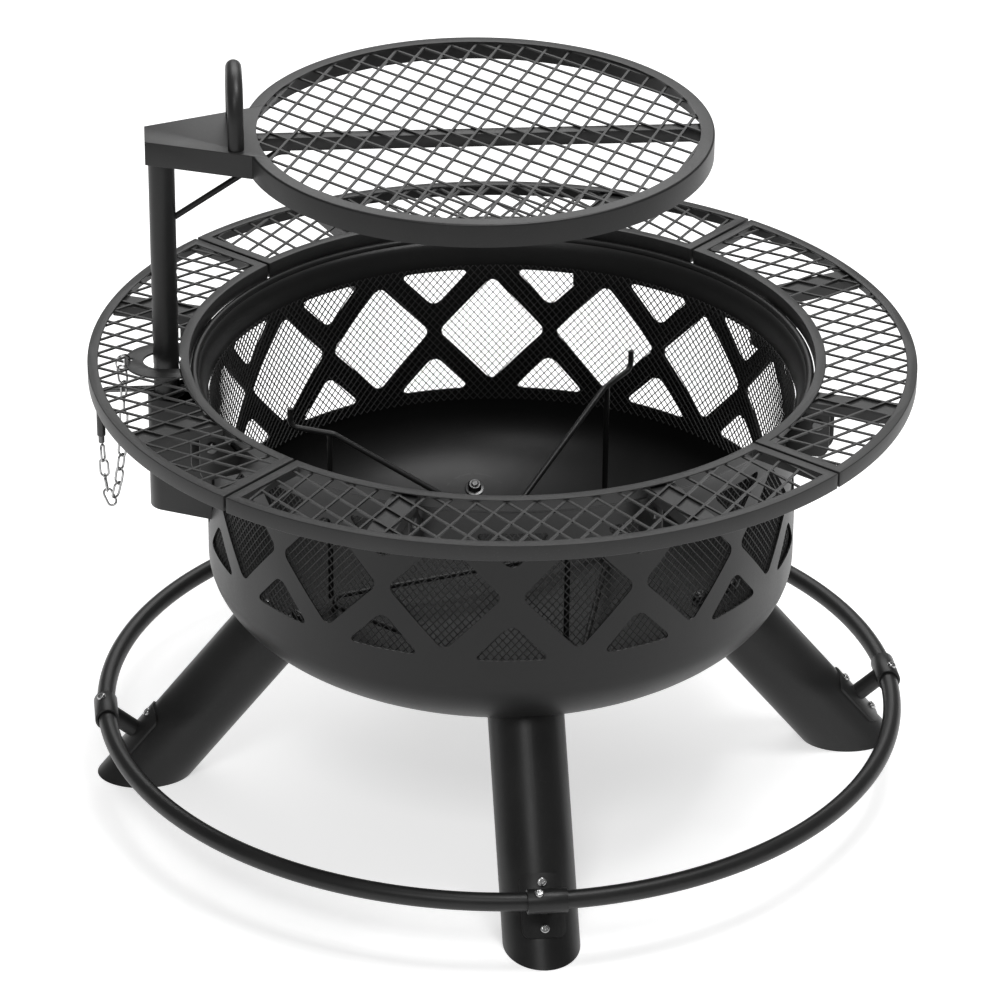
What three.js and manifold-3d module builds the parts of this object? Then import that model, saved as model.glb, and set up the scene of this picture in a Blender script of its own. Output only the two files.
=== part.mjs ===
// Wood-burning fire pit: a round bowl with lattice cut-outs on four splayed tube legs, a round
// table in four quadrants, a foot ring, a log rack and a swing-out, height-adjustable grate.
// Millimetres, +Z up. The origin is on the floor under the bowl's axis. The grate post stands
// on the -X side, and the front of the pit faces -Y.

import * as THREE from "three";
import { mergeGeometries, mergeVertices } from "three/addons/utils/BufferGeometryUtils.js";
import Module from "manifold-3d";

const wasm = await Module();
wasm.setup();

// ---------------------------------------------------------------- driving dimensions

const QUARTER = 90; // degrees
const GAP = 0.3; // left between pieces that touch or are welded
const PAST = 5; // how far a cutter runs past what it cuts
const SHEET = 1.5; // folded sheet steel

const BOWL_RADIUS = 290.6; // outside of the upright wall
const BOWL_WALL = 1.5;
const BOWL_SHOULDER_Z = 245; // where the wall starts to turn into the dished bottom
const BOWL_DISH = 112; // depth of the dished bottom
const BOWL_RIM_Z = 441;
const BEAD_RADIUS = 3.3; // rolled rim
const BEAD_CENTRE = 302.2;
const BOWL_FLARE = 24; // height over which the wall opens out to the rim
const BOWL_STEPS = 48;
const DISH_ANGLES = [0, 12, 24, 36, 48, 58, 69, 80, 90]; // up the dished bottom, from its middle
const BEAD_ANGLES = [-150, -90, -30, 30, 90, 150];
const CUTTER_DEPTH = 20; // that a cutter reaches to each side of the wall

const CUTOUTS = 15;
const CUTOUT_PITCH = 23.9; // degrees; the gap that closes the ring is wider
const CUTOUT_FIRST = 8.9; // degrees from the front towards +X
const CUTOUT_MID_Z = 340.6;
const DIAMOND_HALF_WIDTH = 56.4;
const DIAMOND_HALF_HEIGHT = 60.5;
const DIAMOND_CORNER = 8;
const TRIANGLE_BASE_OFFSET = 68.4; // from the mid line of the lattice to a triangle's base
const TRIANGLE_HEIGHT = 38;
const TRIANGLE_HALF_BASE = 35;

const SCREEN_BOTTOM = 262;
const SCREEN_TOP = 416;
const SCREEN_THICK = 0.7;
const SCREEN_SETBACK = 0.9; // between the wall and the screen

const LEG_RADIUS = 37.3;
const LEG_WALL = 1.6;
const LEG_FOOT_RADIUS = 361.8; // from the pit's axis to the leg's axis, at the floor
const LEG_SPLAY = THREE.MathUtils.degToRad(39.4);
const LEG_CLOCK = 0.8; // degrees between the legs and the table's quadrants
const LEG_CAP = 3;
const LEG_LONG = 330; // of the straight tube before the bowl cuts it
const LEG_BELOW = 60; // of the straight tube before the floor cuts it
const FLOOR_CUT = 900; // half the side of the block that cuts the feet
const LEG_SIDES = 20;
const LEG_BOLT_RADIUS = 237; // from the pit's axis to the bolt that holds the leg

const RING_RADIUS = 399.3;
const RING_Z = 71.5;
const RING_TUBE = 9.1;
const RING_WALL = 1.5;
const RING_SIDES = 10;
const RING_BORE_SIDES = 6;
const RING_BORE_PAST = 1; // degrees that the bore runs past each end
const RING_STEPS = 10;
const RING_END_GAP = 1.1; // from a segment's end to the middle of its collar
const COLLAR_RADIUS = 11.9;
const COLLAR_LENGTH = 38;
const COLLAR_PLAY = 0.5; // between the ring and the collar round it
const SADDLE_WIDTH = 42;
const SADDLE_LENGTH = 62;
const SADDLE_SHEET = 2;
const SADDLE_CORNER = 7;
const SADDLE_STEPS = 6;
const STUB_RADIUS = 9; // of the stub between the saddle and the collar
const STUB_SIDES = 8;
const COLLAR_SIDES = 12;

const TABLE_TOP = 457.6;
const TABLE_OUTER = 406.4;
const TABLE_INNER = 306.8;
const TABLE_DEPTH = 16;
const TABLE_STRIP = 11; // width of the flat strips round the grille
const TABLE_SEAM = 3; // gap between quadrants
const GRILLE_THICK = 2.2;
const GRILLE_LONG = 96; // the long way of a diamond, at 2.5 times the real pitch
const GRILLE_SHORT = 64;
const GRILLE_STRAND = 6.3;

const BAR_WIDTH = 25;
const BAR_ANGLE = 22.5; // degrees from a quadrant's middle to each bar
const BRACKET_DROP = 46;
const BRACKET_REACH = 24;
const BRACKET_ROUND = 12;
const BRACKET_ROOT = 4; // that the bracket's block starts inside the bowl's wall
const BRACKET_BACK = 3; // from the wall to the front of the bracket's back plate
const BAR_OUTER_PLAY = 1.5;
const BAR_INNER_PLAY = 0.8;
const HORSESHOE_SETBACK = 3; // from the frame's inner edge to the plate's ends
const HORSESHOE_SHIFT = 3; // from the post to the middle of the plate's round, outwards
const PASSAGE_PLAY = 2.5; // round the post where it passes the frame

const GRATE_CLOCK = -1.4; // degrees that the post and the grate stand round from the -X side
const POST_X = -329.4;
const POST_RADIUS = 12.7;
const POST_WALL = 1.5;
const POST_SIDES = 24;
const POST_FOOT_Z = 306;
const HOLE_SPACING = 25; // between the post's pin holes
const HOLES_BELOW = 2;
const HOLES_ABOVE = 4;
const SOCKET_BOTTOM = 299;
const SOCKET_TOP = 421;
const SOCKET_RADIUS = 19;
const SOCKET_HALF_MOUTH = 39; // half the socket bracket's width at the bowl
const PIN_Z = 425.4;
const PIN_RADIUS = 3;
const PIN_PLAY = 0.6;
const PIN_SIDES = 10;
const PIN_TIP = 8; // that the pin stands out of the post's far side
const PIN_BEND = 8;
const PIN_REACH = -395; // x of the pin's hanging handle
const PIN_DROP = 58;
const GRIP_RADIUS = 4.4;
const GRIP_BOTTOM = 375; // the pin's bare end hangs out below it
const GRIP_TOP = 415;
const GRIP_SIDES = 16;
const CHAIN_RADIUS = 3;
const CHAIN_STEPS = 22;
const CHAIN_SIDES = 8;

const GRATE_TOP = 696;
const GRATE_X = -25;
const GRATE_RADIUS = 226.5;
const GRATE_FLANGE = 13.5;
const GRATE_BAND = 23;
const ARM_BACK_X = -344.8;
const ARM_BACK_HALF = 19;
const ARM_FRONT_X = -246;
const ARM_FRONT_HALF = 57;
const ARM_END = 120; // from the grate's centre to where the arm's outline is closed
const HANDLE_X = -258.5;
const HANDLE_HALF = 41;
const HANDLE_RADIUS = 8;
const HANDLE_HEIGHT = 69;
const HANDLE_SIDES = 14;
const HANDLE_BEND = 38;
const HANDLE_BEND_STEPS = 6;
const HOLE_RADIUS = 19.5; // slot in the horseshoe plate that the post stands in
const HORSESHOE_RADIUS = 38;

const RACK_CLOCK = -104; // degrees from the front to the first corner
const RACK_ROD = 2.6;
const RACK_LEG_RADIUS = 173;
const RACK_BASE_Z = 161.6;
const RACK_TOP_Z = 351;
const RACK_CENTRE_Z = 261;
const RACK_SEAT = 40; // from a leg outwards to the upturned tip
const RACK_TIP = 20;
const RACK_BEND = 30; // from a corner of the base to where its bend starts

// ---------------------------------------------------------------- finishes

const satinBlack = { color: 0x2c2c2d, roughness: 0.5, metalness: 0.35 };
const charredBlack = { color: 0x1d1d1e, roughness: 0.62, metalness: 0.3 };
const meshBlack = { color: 0x343435, roughness: 0.5, metalness: 0.4 };
const zinc = { color: 0xb9bbbd, roughness: 0.3, metalness: 0.95 };
const vinyl = { color: 0x141414, roughness: 0.25, metalness: 0.0 };
const nylon = { color: 0x202020, roughness: 0.6, metalness: 0.0 };

// ---------------------------------------------------------------- geometry helpers

const group = new THREE.Group();

function addPart(name, geometry, finish) {
  const mesh = new THREE.Mesh(geometry, new THREE.MeshStandardMaterial(finish));
  mesh.name = name;
  group.add(mesh);
  return mesh;
}

function toSolid(geometry) {
  const bare = geometry.clone();
  bare.deleteAttribute("normal");
  bare.deleteAttribute("uv");
  const merged = mergeVertices(bare, 1e-4);
  return new wasm.Manifold(
    new wasm.Mesh({
      numProp: 3,
      vertProperties: new Float32Array(merged.attributes.position.array),
      triVerts: new Uint32Array(merged.index.array),
    }),
  );
}

function toGeometry(solid) {
  const mesh = solid.getMesh();
  const geometry = new THREE.BufferGeometry();
  geometry.setAttribute("position", new THREE.BufferAttribute(mesh.vertProperties, 3));
  geometry.setIndex(new THREE.BufferAttribute(mesh.triVerts, 1));
  geometry.computeVertexNormals();
  return geometry;
}

// azimuth is in degrees from the front (-Y), turning towards +X
function polar(radius, azimuth, z = 0) {
  const angle = THREE.MathUtils.degToRad(azimuth);
  return new THREE.Vector3(radius * Math.sin(angle), -radius * Math.cos(angle), z);
}

// turns a geometry that points along -Y so that it points along the azimuth
function clocked(geometry, azimuth) {
  return geometry.clone().rotateZ(THREE.MathUtils.degToRad(azimuth));
}

// profile: [radius, z] pairs; on the axis at both ends, or closed on itself
// turns a piece made on the X axis to where the post stands
function atPost(geometry) {
  return clocked(geometry, GRATE_CLOCK);
}

function revolved(profile, steps) {
  const points = profile.map(([radius, z]) => new THREE.Vector2(radius, z));
  return new THREE.LatheGeometry(points, steps).rotateX(Math.PI / 2);
}

function pipe(inner, outer, bottom, top, steps) {
  return revolved(
    [[inner, bottom], [outer, bottom], [outer, top], [inner, top], [inner, bottom]],
    steps,
  );
}

// a flat outline in X and Y, raised from bottom to top
function raised(points, bottom, top, holes = []) {
  const shape = new THREE.Shape(points);
  shape.holes = holes.map((hole) => new THREE.Path(hole));
  const geometry = new THREE.ExtrudeGeometry(shape, { depth: top - bottom, bevelEnabled: false });
  return geometry.translate(0, 0, bottom);
}

function box(low, high) {
  const size = high.map((value, axis) => value - low[axis]);
  const centre = high.map((value, axis) => (value + low[axis]) / 2);
  return new THREE.BoxGeometry(...size).translate(...centre);
}

function arc(cx, cy, radius, from, to, steps) {
  const points = [];
  for (let step = 0; step <= steps; step += 1) {
    const angle = THREE.MathUtils.degToRad(from + ((to - from) * step) / steps);
    points.push(new THREE.Vector2(cx + radius * Math.cos(angle), cy + radius * Math.sin(angle)));
  }
  return points;
}

// a polygon whose corners are cut back by the radius and rounded in a few steps
function rounded(corners, radius, steps = 1) {
  const points = [];
  corners.forEach((corner, index) => {
    const before = corners[(index + corners.length - 1) % corners.length];
    const after = corners[(index + 1) % corners.length];
    const toBefore = before.clone().sub(corner).normalize();
    const toAfter = after.clone().sub(corner).normalize();
    const half = Math.acos(toBefore.dot(toAfter)) / 2;
    const setback = radius / Math.tan(half);
    const start = corner.clone().addScaledVector(toBefore, setback);
    const end = corner.clone().addScaledVector(toAfter, setback);
    for (let step = 0; step <= steps; step += 1) {
      const t = step / steps;
      const first = start.clone().lerp(corner, t);
      points.push(first.lerp(corner.clone().lerp(end, t), t));
    }
  });
  return points;
}

// a round rod through the points, with its corners rounded
function rod(points, radius, sides, bend = 0, stepsPerBend = 3) {
  const path = new THREE.CurvePath();
  let last = points[0];
  for (let index = 1; index < points.length - 1; index += 1) {
    const corner = points[index];
    const start = corner.clone().add(last.clone().sub(corner).setLength(bend));
    const end = corner.clone().add(points[index + 1].clone().sub(corner).setLength(bend));
    path.add(new THREE.LineCurve3(last, start));
    path.add(new THREE.QuadraticBezierCurve3(start, corner, end));
    last = end;
  }
  path.add(new THREE.LineCurve3(last, points[points.length - 1]));
  const stops = [points[0]];
  path.curves.forEach((curve) => {
    const count = curve.isLineCurve3 ? 1 : stepsPerBend;
    for (let step = 1; step <= count; step += 1) stops.push(curve.getPoint(step / count));
  });
  return sweptTube(stops, radius, sides);
}

// a closed tube of constant section through the given stops, capped at both ends
function sweptTube(stops, radius, sides) {
  const section = new THREE.Shape(arc(0, 0, radius, 0, 360 - 360 / sides, sides - 1));
  const route = new PolyLineCurve(stops);
  return new THREE.ExtrudeGeometry(section, {
    steps: stops.length - 1,
    extrudePath: route,
    bevelEnabled: false,
  });
}

// a curve that stops exactly at the given points when it is divided evenly
class PolyLineCurve extends THREE.Curve {
  constructor(stops) {
    super();
    this.stops = stops;
  }

  getPoint(t) {
    const place = Math.min(Math.max(t, 0), 1) * (this.stops.length - 1);
    const index = Math.min(Math.floor(place), this.stops.length - 2);
    return this.stops[index].clone().lerp(this.stops[index + 1], place - index);
  }

  getPointAt(u) {
    return this.getPoint(u);
  }

  getTangent(t) {
    const place = Math.min(Math.max(t, 0), 1) * (this.stops.length - 1);
    const index = Math.round(place);
    const before = this.stops[Math.max(index - 1, 0)];
    const after = this.stops[Math.min(index + 1, this.stops.length - 1)];
    return after.clone().sub(before).normalize();
  }

  getTangentAt(u) {
    return this.getTangent(u);
  }
}

// ---------------------------------------------------------------- bowl and spark screen

function bowlOutline(offset) {
  const points = [];
  const radius = BOWL_RADIUS + offset;
  const depth = BOWL_DISH + offset;
  for (const angle of DISH_ANGLES) {
    const turn = THREE.MathUtils.degToRad(angle);
    points.push([radius * Math.sin(turn), BOWL_SHOULDER_Z - depth * Math.cos(turn)]);
  }
  return points;
}

function bowlBody(offset) {
  const rim = BEAD_CENTRE + BEAD_RADIUS + offset;
  const top = BOWL_RIM_Z + BEAD_RADIUS + offset;
  const throat = [BOWL_RADIUS + offset, BOWL_RIM_Z - BOWL_FLARE - offset];
  const points = [...bowlOutline(offset), throat, [rim, BOWL_RIM_Z - 2 * BEAD_RADIUS], [rim, top], [0, top]];
  return revolved(points, BOWL_STEPS);
}

function bowlShell() {
  const bead = BEAD_ANGLES.map((angle) => {
    const turn = THREE.MathUtils.degToRad(angle);
    return [BEAD_CENTRE + BEAD_RADIUS * Math.cos(turn), BOWL_RIM_Z + BEAD_RADIUS * Math.sin(turn)];
  });
  const throat = [BOWL_RADIUS, BOWL_RIM_Z - BOWL_FLARE];
  const inside = bowlOutline(-BOWL_WALL).reverse();
  return revolved(
    [...bowlOutline(0), throat, ...bead, [BOWL_RADIUS - BOWL_WALL, BOWL_RIM_Z - BOWL_FLARE + 1], ...inside],
    BOWL_STEPS,
  );
}

// an opening cutter: an outline in arc length and height, pushed through the wall
function wallCutter(outline, azimuth) {
  const flat = outline.map(({ x, y }) => new THREE.Vector2(x, y));
  const geometry = raised(flat, BOWL_RADIUS - CUTTER_DEPTH, BOWL_RADIUS + CUTTER_DEPTH);
  return clocked(geometry.rotateX(Math.PI / 2), azimuth);
}

function latticeCutters() {
  const diamond = rounded(
    [
      new THREE.Vector2(DIAMOND_HALF_WIDTH, CUTOUT_MID_Z),
      new THREE.Vector2(0, CUTOUT_MID_Z + DIAMOND_HALF_HEIGHT),
      new THREE.Vector2(-DIAMOND_HALF_WIDTH, CUTOUT_MID_Z),
      new THREE.Vector2(0, CUTOUT_MID_Z - DIAMOND_HALF_HEIGHT),
    ],
    DIAMOND_CORNER,
  );
  const triangle = (way) => {
    const base = CUTOUT_MID_Z + way * TRIANGLE_BASE_OFFSET;
    const corners = [
      new THREE.Vector2(way * TRIANGLE_HALF_BASE, base),
      new THREE.Vector2(-way * TRIANGLE_HALF_BASE, base),
      new THREE.Vector2(0, base - way * TRIANGLE_HEIGHT),
    ];
    return corners;
  };
  const cutters = [];
  for (let index = 0; index < CUTOUTS; index += 1) {
    const azimuth = CUTOUT_FIRST + index * CUTOUT_PITCH;
    const closing = index === CUTOUTS - 1;
    const next = closing ? CUTOUT_FIRST + 360 : azimuth + CUTOUT_PITCH;
    const between = (azimuth + next) / 2;
    cutters.push(wallCutter(diamond, azimuth));
    cutters.push(wallCutter(triangle(1), between));
    cutters.push(wallCutter(triangle(-1), between));
  }
  return cutters;
}

// place and outward normal of a point on the dished bottom, in the plane of radius and height
function dishPoint(radius) {
  const depth = BOWL_DISH * Math.sqrt(1 - (radius / BOWL_RADIUS) ** 2);
  const normal = new THREE.Vector2(radius / BOWL_RADIUS ** 2, -depth / BOWL_DISH ** 2).normalize();
  return { z: BOWL_SHOULDER_Z - depth, normal };
}

// a round piece on the dished bottom, square to the sheet; z = 0 is the outer face, up is in
function onDish(geometry, radius, azimuth) {
  const { z, normal } = dishPoint(radius);
  const tilt = Math.atan2(normal.x, -normal.y);
  return clocked(geometry.rotateX(-tilt).translate(0, -radius, z), azimuth);
}

const LEG_AZIMUTHS = [0, 90, 180, 270].map((turn) => turn + LEG_CLOCK);
const SIDE_NAMES = ["front", "right", "back", "left"];
const BOLT_SHANK = 4;
const BOLT_HOLE = 4.6;
const BOLT_INSET = 6; // how far the bolt reaches below the sheet
const BOLT_SEAT = 2.1; // a flat washer on the dished sheet stands this far off it at its middle
const WASHER_RADIUS = 10;
const WASHER_THICK = 1.6;
const NUT_RADIUS = 7;
const NUT_TOP = 8; // above the seat, like the two below
const BOLT_END = 17;
const BOLT_SIDES = 8;
const DRILL_PAST = 12; // that a drill runs past the bowl's sheet
const LEG_DRILL = 20; // that it runs down through the leg's cap
const DRILL_SIDES = 10;

function boltDrill(below, azimuth) {
  const outline = [[0, -below], [BOLT_HOLE, -below], [BOLT_HOLE, DRILL_PAST], [0, DRILL_PAST]];
  return toSolid(onDish(revolved(outline, DRILL_SIDES), LEG_BOLT_RADIUS, azimuth));
}

function addBowl() {
  let bowl = toSolid(bowlShell());
  latticeCutters().forEach((cutter) => {
    bowl = bowl.subtract(toSolid(cutter));
  });
  LEG_AZIMUTHS.forEach((azimuth) => {
    bowl = bowl.subtract(boltDrill(DRILL_PAST, azimuth));
  });
  addPart("fire_bowl", toGeometry(bowl), charredBlack);

  const screenOutside = BOWL_RADIUS - BOWL_WALL - SCREEN_SETBACK;
  const screenInside = screenOutside - SCREEN_THICK;
  const screen = pipe(screenInside, screenOutside, SCREEN_BOTTOM, SCREEN_TOP, BOWL_STEPS);
  addPart("spark_screen", screen, meshBlack);
}

// ---------------------------------------------------------------- legs

const axisTilt = { r: -Math.sin(LEG_SPLAY), z: Math.cos(LEG_SPLAY) };

// a piece modelled round +Z, laid on the axis of the front leg; z = 0 is at the floor
function onLeg(geometry, azimuth) {
  const tilted = geometry.rotateX(-LEG_SPLAY).translate(0, -LEG_FOOT_RADIUS, 0);
  return clocked(tilted, azimuth);
}

function legSolid(azimuth) {
  const bar = (radius) => {
    const outline = [[0, -LEG_BELOW], [radius, -LEG_BELOW], [radius, LEG_LONG], [0, LEG_LONG]];
    return onLeg(revolved(outline, LEG_SIDES), azimuth);
  };
  const floorCut = box([-FLOOR_CUT, -FLOOR_CUT, -FLOOR_CUT], [FLOOR_CUT, FLOOR_CUT, 0]);
  const outside = toSolid(bar(LEG_RADIUS)).subtract(toSolid(bowlBody(GAP)));
  const bore = toSolid(bar(LEG_RADIUS - LEG_WALL)).subtract(toSolid(bowlBody(GAP + LEG_CAP)));
  return outside
    .subtract(bore)
    .subtract(toSolid(floorCut))
    .subtract(boltDrill(LEG_DRILL, azimuth));
}

function legBolt(azimuth) {
  const washerBottom = BOWL_WALL + BOLT_SEAT;
  const profile = [
    [0, -BOLT_INSET],
    [BOLT_SHANK, -BOLT_INSET],
    [BOLT_SHANK, washerBottom],
    [WASHER_RADIUS, washerBottom],
    [WASHER_RADIUS, washerBottom + WASHER_THICK],
    [NUT_RADIUS, washerBottom + WASHER_THICK],
    [NUT_RADIUS, washerBottom + NUT_TOP],
    [BOLT_SHANK, washerBottom + NUT_TOP],
    [BOLT_SHANK, washerBottom + BOLT_END],
    [0, washerBottom + BOLT_END],
  ];
  return onDish(revolved(profile, BOLT_SIDES), LEG_BOLT_RADIUS, azimuth);
}

function addLegs() {
  LEG_AZIMUTHS.forEach((azimuth, index) => {
    addPart(`leg_${SIDE_NAMES[index]}`, toGeometry(legSolid(azimuth)), satinBlack);
    addPart(`leg_bolt_${SIDE_NAMES[index]}`, legBolt(azimuth), zinc);
  });
}

// ---------------------------------------------------------------- foot ring

// an arc of round tube about the pit's axis, open at both ends
function ringTube(from, to, steps) {
  const bend = (radius, sides) => {
    const stops = [];
    for (let step = 0; step <= steps; step += 1) {
      stops.push(polar(RING_RADIUS, from + ((to - from) * step) / steps, RING_Z));
    }
    return toSolid(sweptTube(stops, radius, sides));
  };
  return { outer: bend(RING_TUBE, RING_SIDES), inner: bend(RING_TUBE - RING_WALL, RING_BORE_SIDES) };
}

function ringSegment(azimuth) {
  const trim = THREE.MathUtils.radToDeg(RING_END_GAP / RING_RADIUS);
  const from = azimuth + trim;
  const to = azimuth + QUARTER - trim;
  const { outer } = ringTube(from, to, RING_STEPS);
  const { inner } = ringTube(from - RING_BORE_PAST, to + RING_BORE_PAST, RING_STEPS);
  return outer.subtract(inner);
}

// distances along the leg and out from its axis to the foot ring's centre line
const ringOffset = { r: RING_RADIUS - LEG_FOOT_RADIUS, z: RING_Z };
const alongLeg = ringOffset.r * axisTilt.r + ringOffset.z * axisTilt.z;
const outFromLeg = ringOffset.r * axisTilt.z - ringOffset.z * axisTilt.r;

function saddleSolid() {
  const span = THREE.MathUtils.radToDeg(SADDLE_WIDTH / 2 / LEG_RADIUS);
  const inner = LEG_RADIUS + GAP;
  const outer = inner + SADDLE_SHEET;
  const points = [
    ...arc(0, 0, outer, -QUARTER - span, -QUARTER + span, SADDLE_STEPS),
    ...arc(0, 0, inner, -QUARTER + span, -QUARTER - span, SADDLE_STEPS),
  ];
  const plate = raised(points, alongLeg - SADDLE_LENGTH / 2, alongLeg + SADDLE_LENGTH / 2);
  const half = SADDLE_LENGTH / 2;
  const side = SADDLE_WIDTH / 2;
  const outline = rounded(
    [
      new THREE.Vector2(side, half),
      new THREE.Vector2(-side, half),
      new THREE.Vector2(-side, -half),
      new THREE.Vector2(side, -half),
    ],
    SADDLE_CORNER,
    2,
  );
  const stencil = raised(outline, 0, 2 * LEG_RADIUS).rotateX(Math.PI / 2).translate(0, 0, alongLeg);
  return toSolid(plate).intersect(toSolid(stencil));
}

function ringBracket(azimuth) {
  const turned = (solidGeometry) => toSolid(onLeg(solidGeometry, azimuth));
  const root = LEG_RADIUS + 1;
  const stub = revolved(
    [[0, root], [STUB_RADIUS, root], [STUB_RADIUS, outFromLeg], [0, outFromLeg]],
    STUB_SIDES,
  );
  stub.rotateX(Math.PI / 2).translate(0, 0, alongLeg);
  const half = COLLAR_LENGTH / 2;
  const collar = revolved(
    [[0, -half], [COLLAR_RADIUS, -half], [COLLAR_RADIUS, half], [0, half]],
    COLLAR_SIDES,
  );
  collar.rotateY(Math.PI / 2).translate(0, -outFromLeg, alongLeg);
  const reach = QUARTER / RING_STEPS;
  const stops = [-reach, 0, reach].map((turn) => polar(RING_RADIUS, azimuth + turn, RING_Z));
  const bore = toSolid(sweptTube(stops, RING_TUBE + COLLAR_PLAY, COLLAR_SIDES));
  const bar = LEG_RADIUS + GAP;
  const legBar = revolved([[0, -LEG_BELOW], [bar, -LEG_BELOW], [bar, LEG_LONG], [0, LEG_LONG]], LEG_SIDES);
  return toSolid(onLeg(toGeometry(saddleSolid()), azimuth))
    .add(turned(stub))
    .add(turned(collar))
    .subtract(bore)
    .subtract(turned(legBar));
}

function addFootRing() {
  LEG_AZIMUTHS.forEach((azimuth, index) => {
    const next = (index + 1) % 4;
    const name = `foot_ring_${SIDE_NAMES[index]}_${SIDE_NAMES[next]}`;
    addPart(name, toGeometry(ringSegment(azimuth)), satinBlack);
    addPart(`ring_bracket_${SIDE_NAMES[index]}`, toGeometry(ringBracket(azimuth)), satinBlack);
  });
}

// ---------------------------------------------------------------- table

const ARC_STEPS = 12;

// the outline of one quadrant, facing -Y, with its edges moved in by the given amounts
function quadrant(outerInset, innerInset, endInset) {
  const outer = TABLE_OUTER - outerInset;
  const inner = TABLE_INNER + innerInset;
  const edge = (radius) => 45 - THREE.MathUtils.radToDeg(Math.asin((TABLE_SEAM / 2 + endInset) / radius));
  return [
    ...arc(0, 0, outer, -90 - edge(outer), -90 + edge(outer), ARC_STEPS),
    ...arc(0, 0, inner, -90 + edge(inner), -90 - edge(inner), ARC_STEPS),
  ];
}

function tableFrame() {
  const bottom = TABLE_TOP - TABLE_DEPTH;
  const slab = toSolid(raised(quadrant(0, 0, 0), bottom, TABLE_TOP));
  const pocket = raised(quadrant(SHEET, SHEET, SHEET), bottom - 5, TABLE_TOP - SHEET);
  const window = raised(quadrant(TABLE_STRIP - 1, TABLE_STRIP, TABLE_STRIP), bottom, TABLE_TOP + 5);
  return slab.subtract(toSolid(pocket)).subtract(toSolid(window));
}

// the diamond openings of a wide sheet of expanded metal, long way along Y, as one solid
function grilleOpenings(reach, bottom, top) {
  const slope = Math.hypot(GRILLE_LONG, GRILLE_SHORT) / 2;
  const halfLong = GRILLE_LONG / 2 - (GRILLE_STRAND * slope) / GRILLE_SHORT;
  const halfShort = GRILLE_SHORT / 2 - (GRILLE_STRAND * slope) / GRILLE_LONG;
  const rows = Math.ceil((2 * reach) / GRILLE_LONG);
  const columns = Math.ceil(reach / GRILLE_SHORT);
  const prisms = [];
  for (let row = -rows; row <= rows; row += 1) {
    const y = (row * GRILLE_LONG) / 2;
    for (let column = -columns; column <= columns; column += 1) {
      const x = (column + (row % 2 === 0 ? 0 : 0.5)) * GRILLE_SHORT;
      const corners = [
        new THREE.Vector2(x + halfShort, y),
        new THREE.Vector2(x, y + halfLong),
        new THREE.Vector2(x - halfShort, y),
        new THREE.Vector2(x, y - halfLong),
      ];
      prisms.push(raised(corners, bottom - 5, top + 5));
    }
  }
  return toSolid(mergeGeometries(prisms));
}

function tableGrille() {
  const top = TABLE_TOP - SHEET - GAP;
  const bottom = top - GRILLE_THICK;
  const edge = SHEET + GAP;
  const border = TABLE_STRIP - 3;
  const sheet = toSolid(raised(quadrant(edge, edge, edge), bottom, top));
  const window = toSolid(raised(quadrant(border, border, border), bottom - 3, top + 3));
  const middle = (TABLE_OUTER + TABLE_INNER) / 2;
  const openings = grilleOpenings(TABLE_OUTER, bottom, top).translate([0, -middle, 0]);
  return sheet.subtract(openings.intersect(window));
}

function tableBar() {
  const top = TABLE_TOP - SHEET - 2 * GAP - GRILLE_THICK;
  const bottom = TABLE_TOP - TABLE_DEPTH;
  const half = BAR_WIDTH / 2;
  const outer = -(TABLE_OUTER - SHEET - BAR_OUTER_PLAY);
  const inner = -(TABLE_INNER + SHEET + BAR_INNER_PLAY);
  const block = toSolid(box([-half, outer, bottom], [half, inner, top]));
  const channel = box(
    [-half + SHEET, outer - PAST, bottom - PAST],
    [half - SHEET, inner + PAST, top - SHEET],
  );
  return toGeometry(block.subtract(toSolid(channel)));
}

// a folded bracket on the bowl's wall whose two wings stand inside a bar
function tableBracket() {
  const top = TABLE_TOP - 2 * SHEET - 3 * GAP - GRILLE_THICK;
  const shoulder = TABLE_TOP - TABLE_DEPTH - GAP;
  const bottom = shoulder - BRACKET_DROP;
  const half = BAR_WIDTH / 2 - SHEET - GAP;
  const wall = BOWL_RADIUS - BRACKET_ROOT;
  const step = TABLE_INNER + SHEET + 2 * GAP;
  const tip = step + BRACKET_REACH;
  const round = BRACKET_ROUND;
  const outline = [
    new THREE.Vector2(wall, bottom),
    ...arc(tip - round, bottom + round, round, 270, 360, 4),
    new THREE.Vector2(tip, top),
    new THREE.Vector2(step, top),
    new THREE.Vector2(step, shoulder),
    new THREE.Vector2(wall, shoulder),
  ];
  const wings = raised(outline, -half, half).rotateX(Math.PI / 2).rotateZ(-Math.PI / 2);
  const backPlate = BOWL_RADIUS + BRACKET_BACK;
  const slot = box([-half + SHEET, -tip - PAST, bottom - PAST], [half - SHEET, -backPlate, top + PAST]);
  return toSolid(wings).subtract(toSolid(slot));
}

function horseshoeOutline(radius, end) {
  return [
    new THREE.Vector2(end, -radius),
    ...arc(POST_X - HORSESHOE_SHIFT, 0, radius, 270, 90, HORSESHOE_STEPS),
    new THREE.Vector2(end, radius),
  ].reverse();
}

const HORSESHOE_STEPS = 14;
const HORSESHOE_END = -(TABLE_INNER + SHEET + HORSESHOE_SETBACK);
const HORSESHOE_TOP = TABLE_TOP - SHEET - GAP;

function horseshoePlate() {
  const bottom = HORSESHOE_TOP - GRILLE_THICK;
  const plate = raised(horseshoeOutline(HORSESHOE_RADIUS, HORSESHOE_END), bottom, HORSESHOE_TOP);
  const slot = raised(horseshoeOutline(HOLE_RADIUS, HORSESHOE_END + PAST), bottom - PAST, TABLE_TOP);
  return toSolid(atPost(plate)).subtract(toSolid(atPost(slot)));
}

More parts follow.
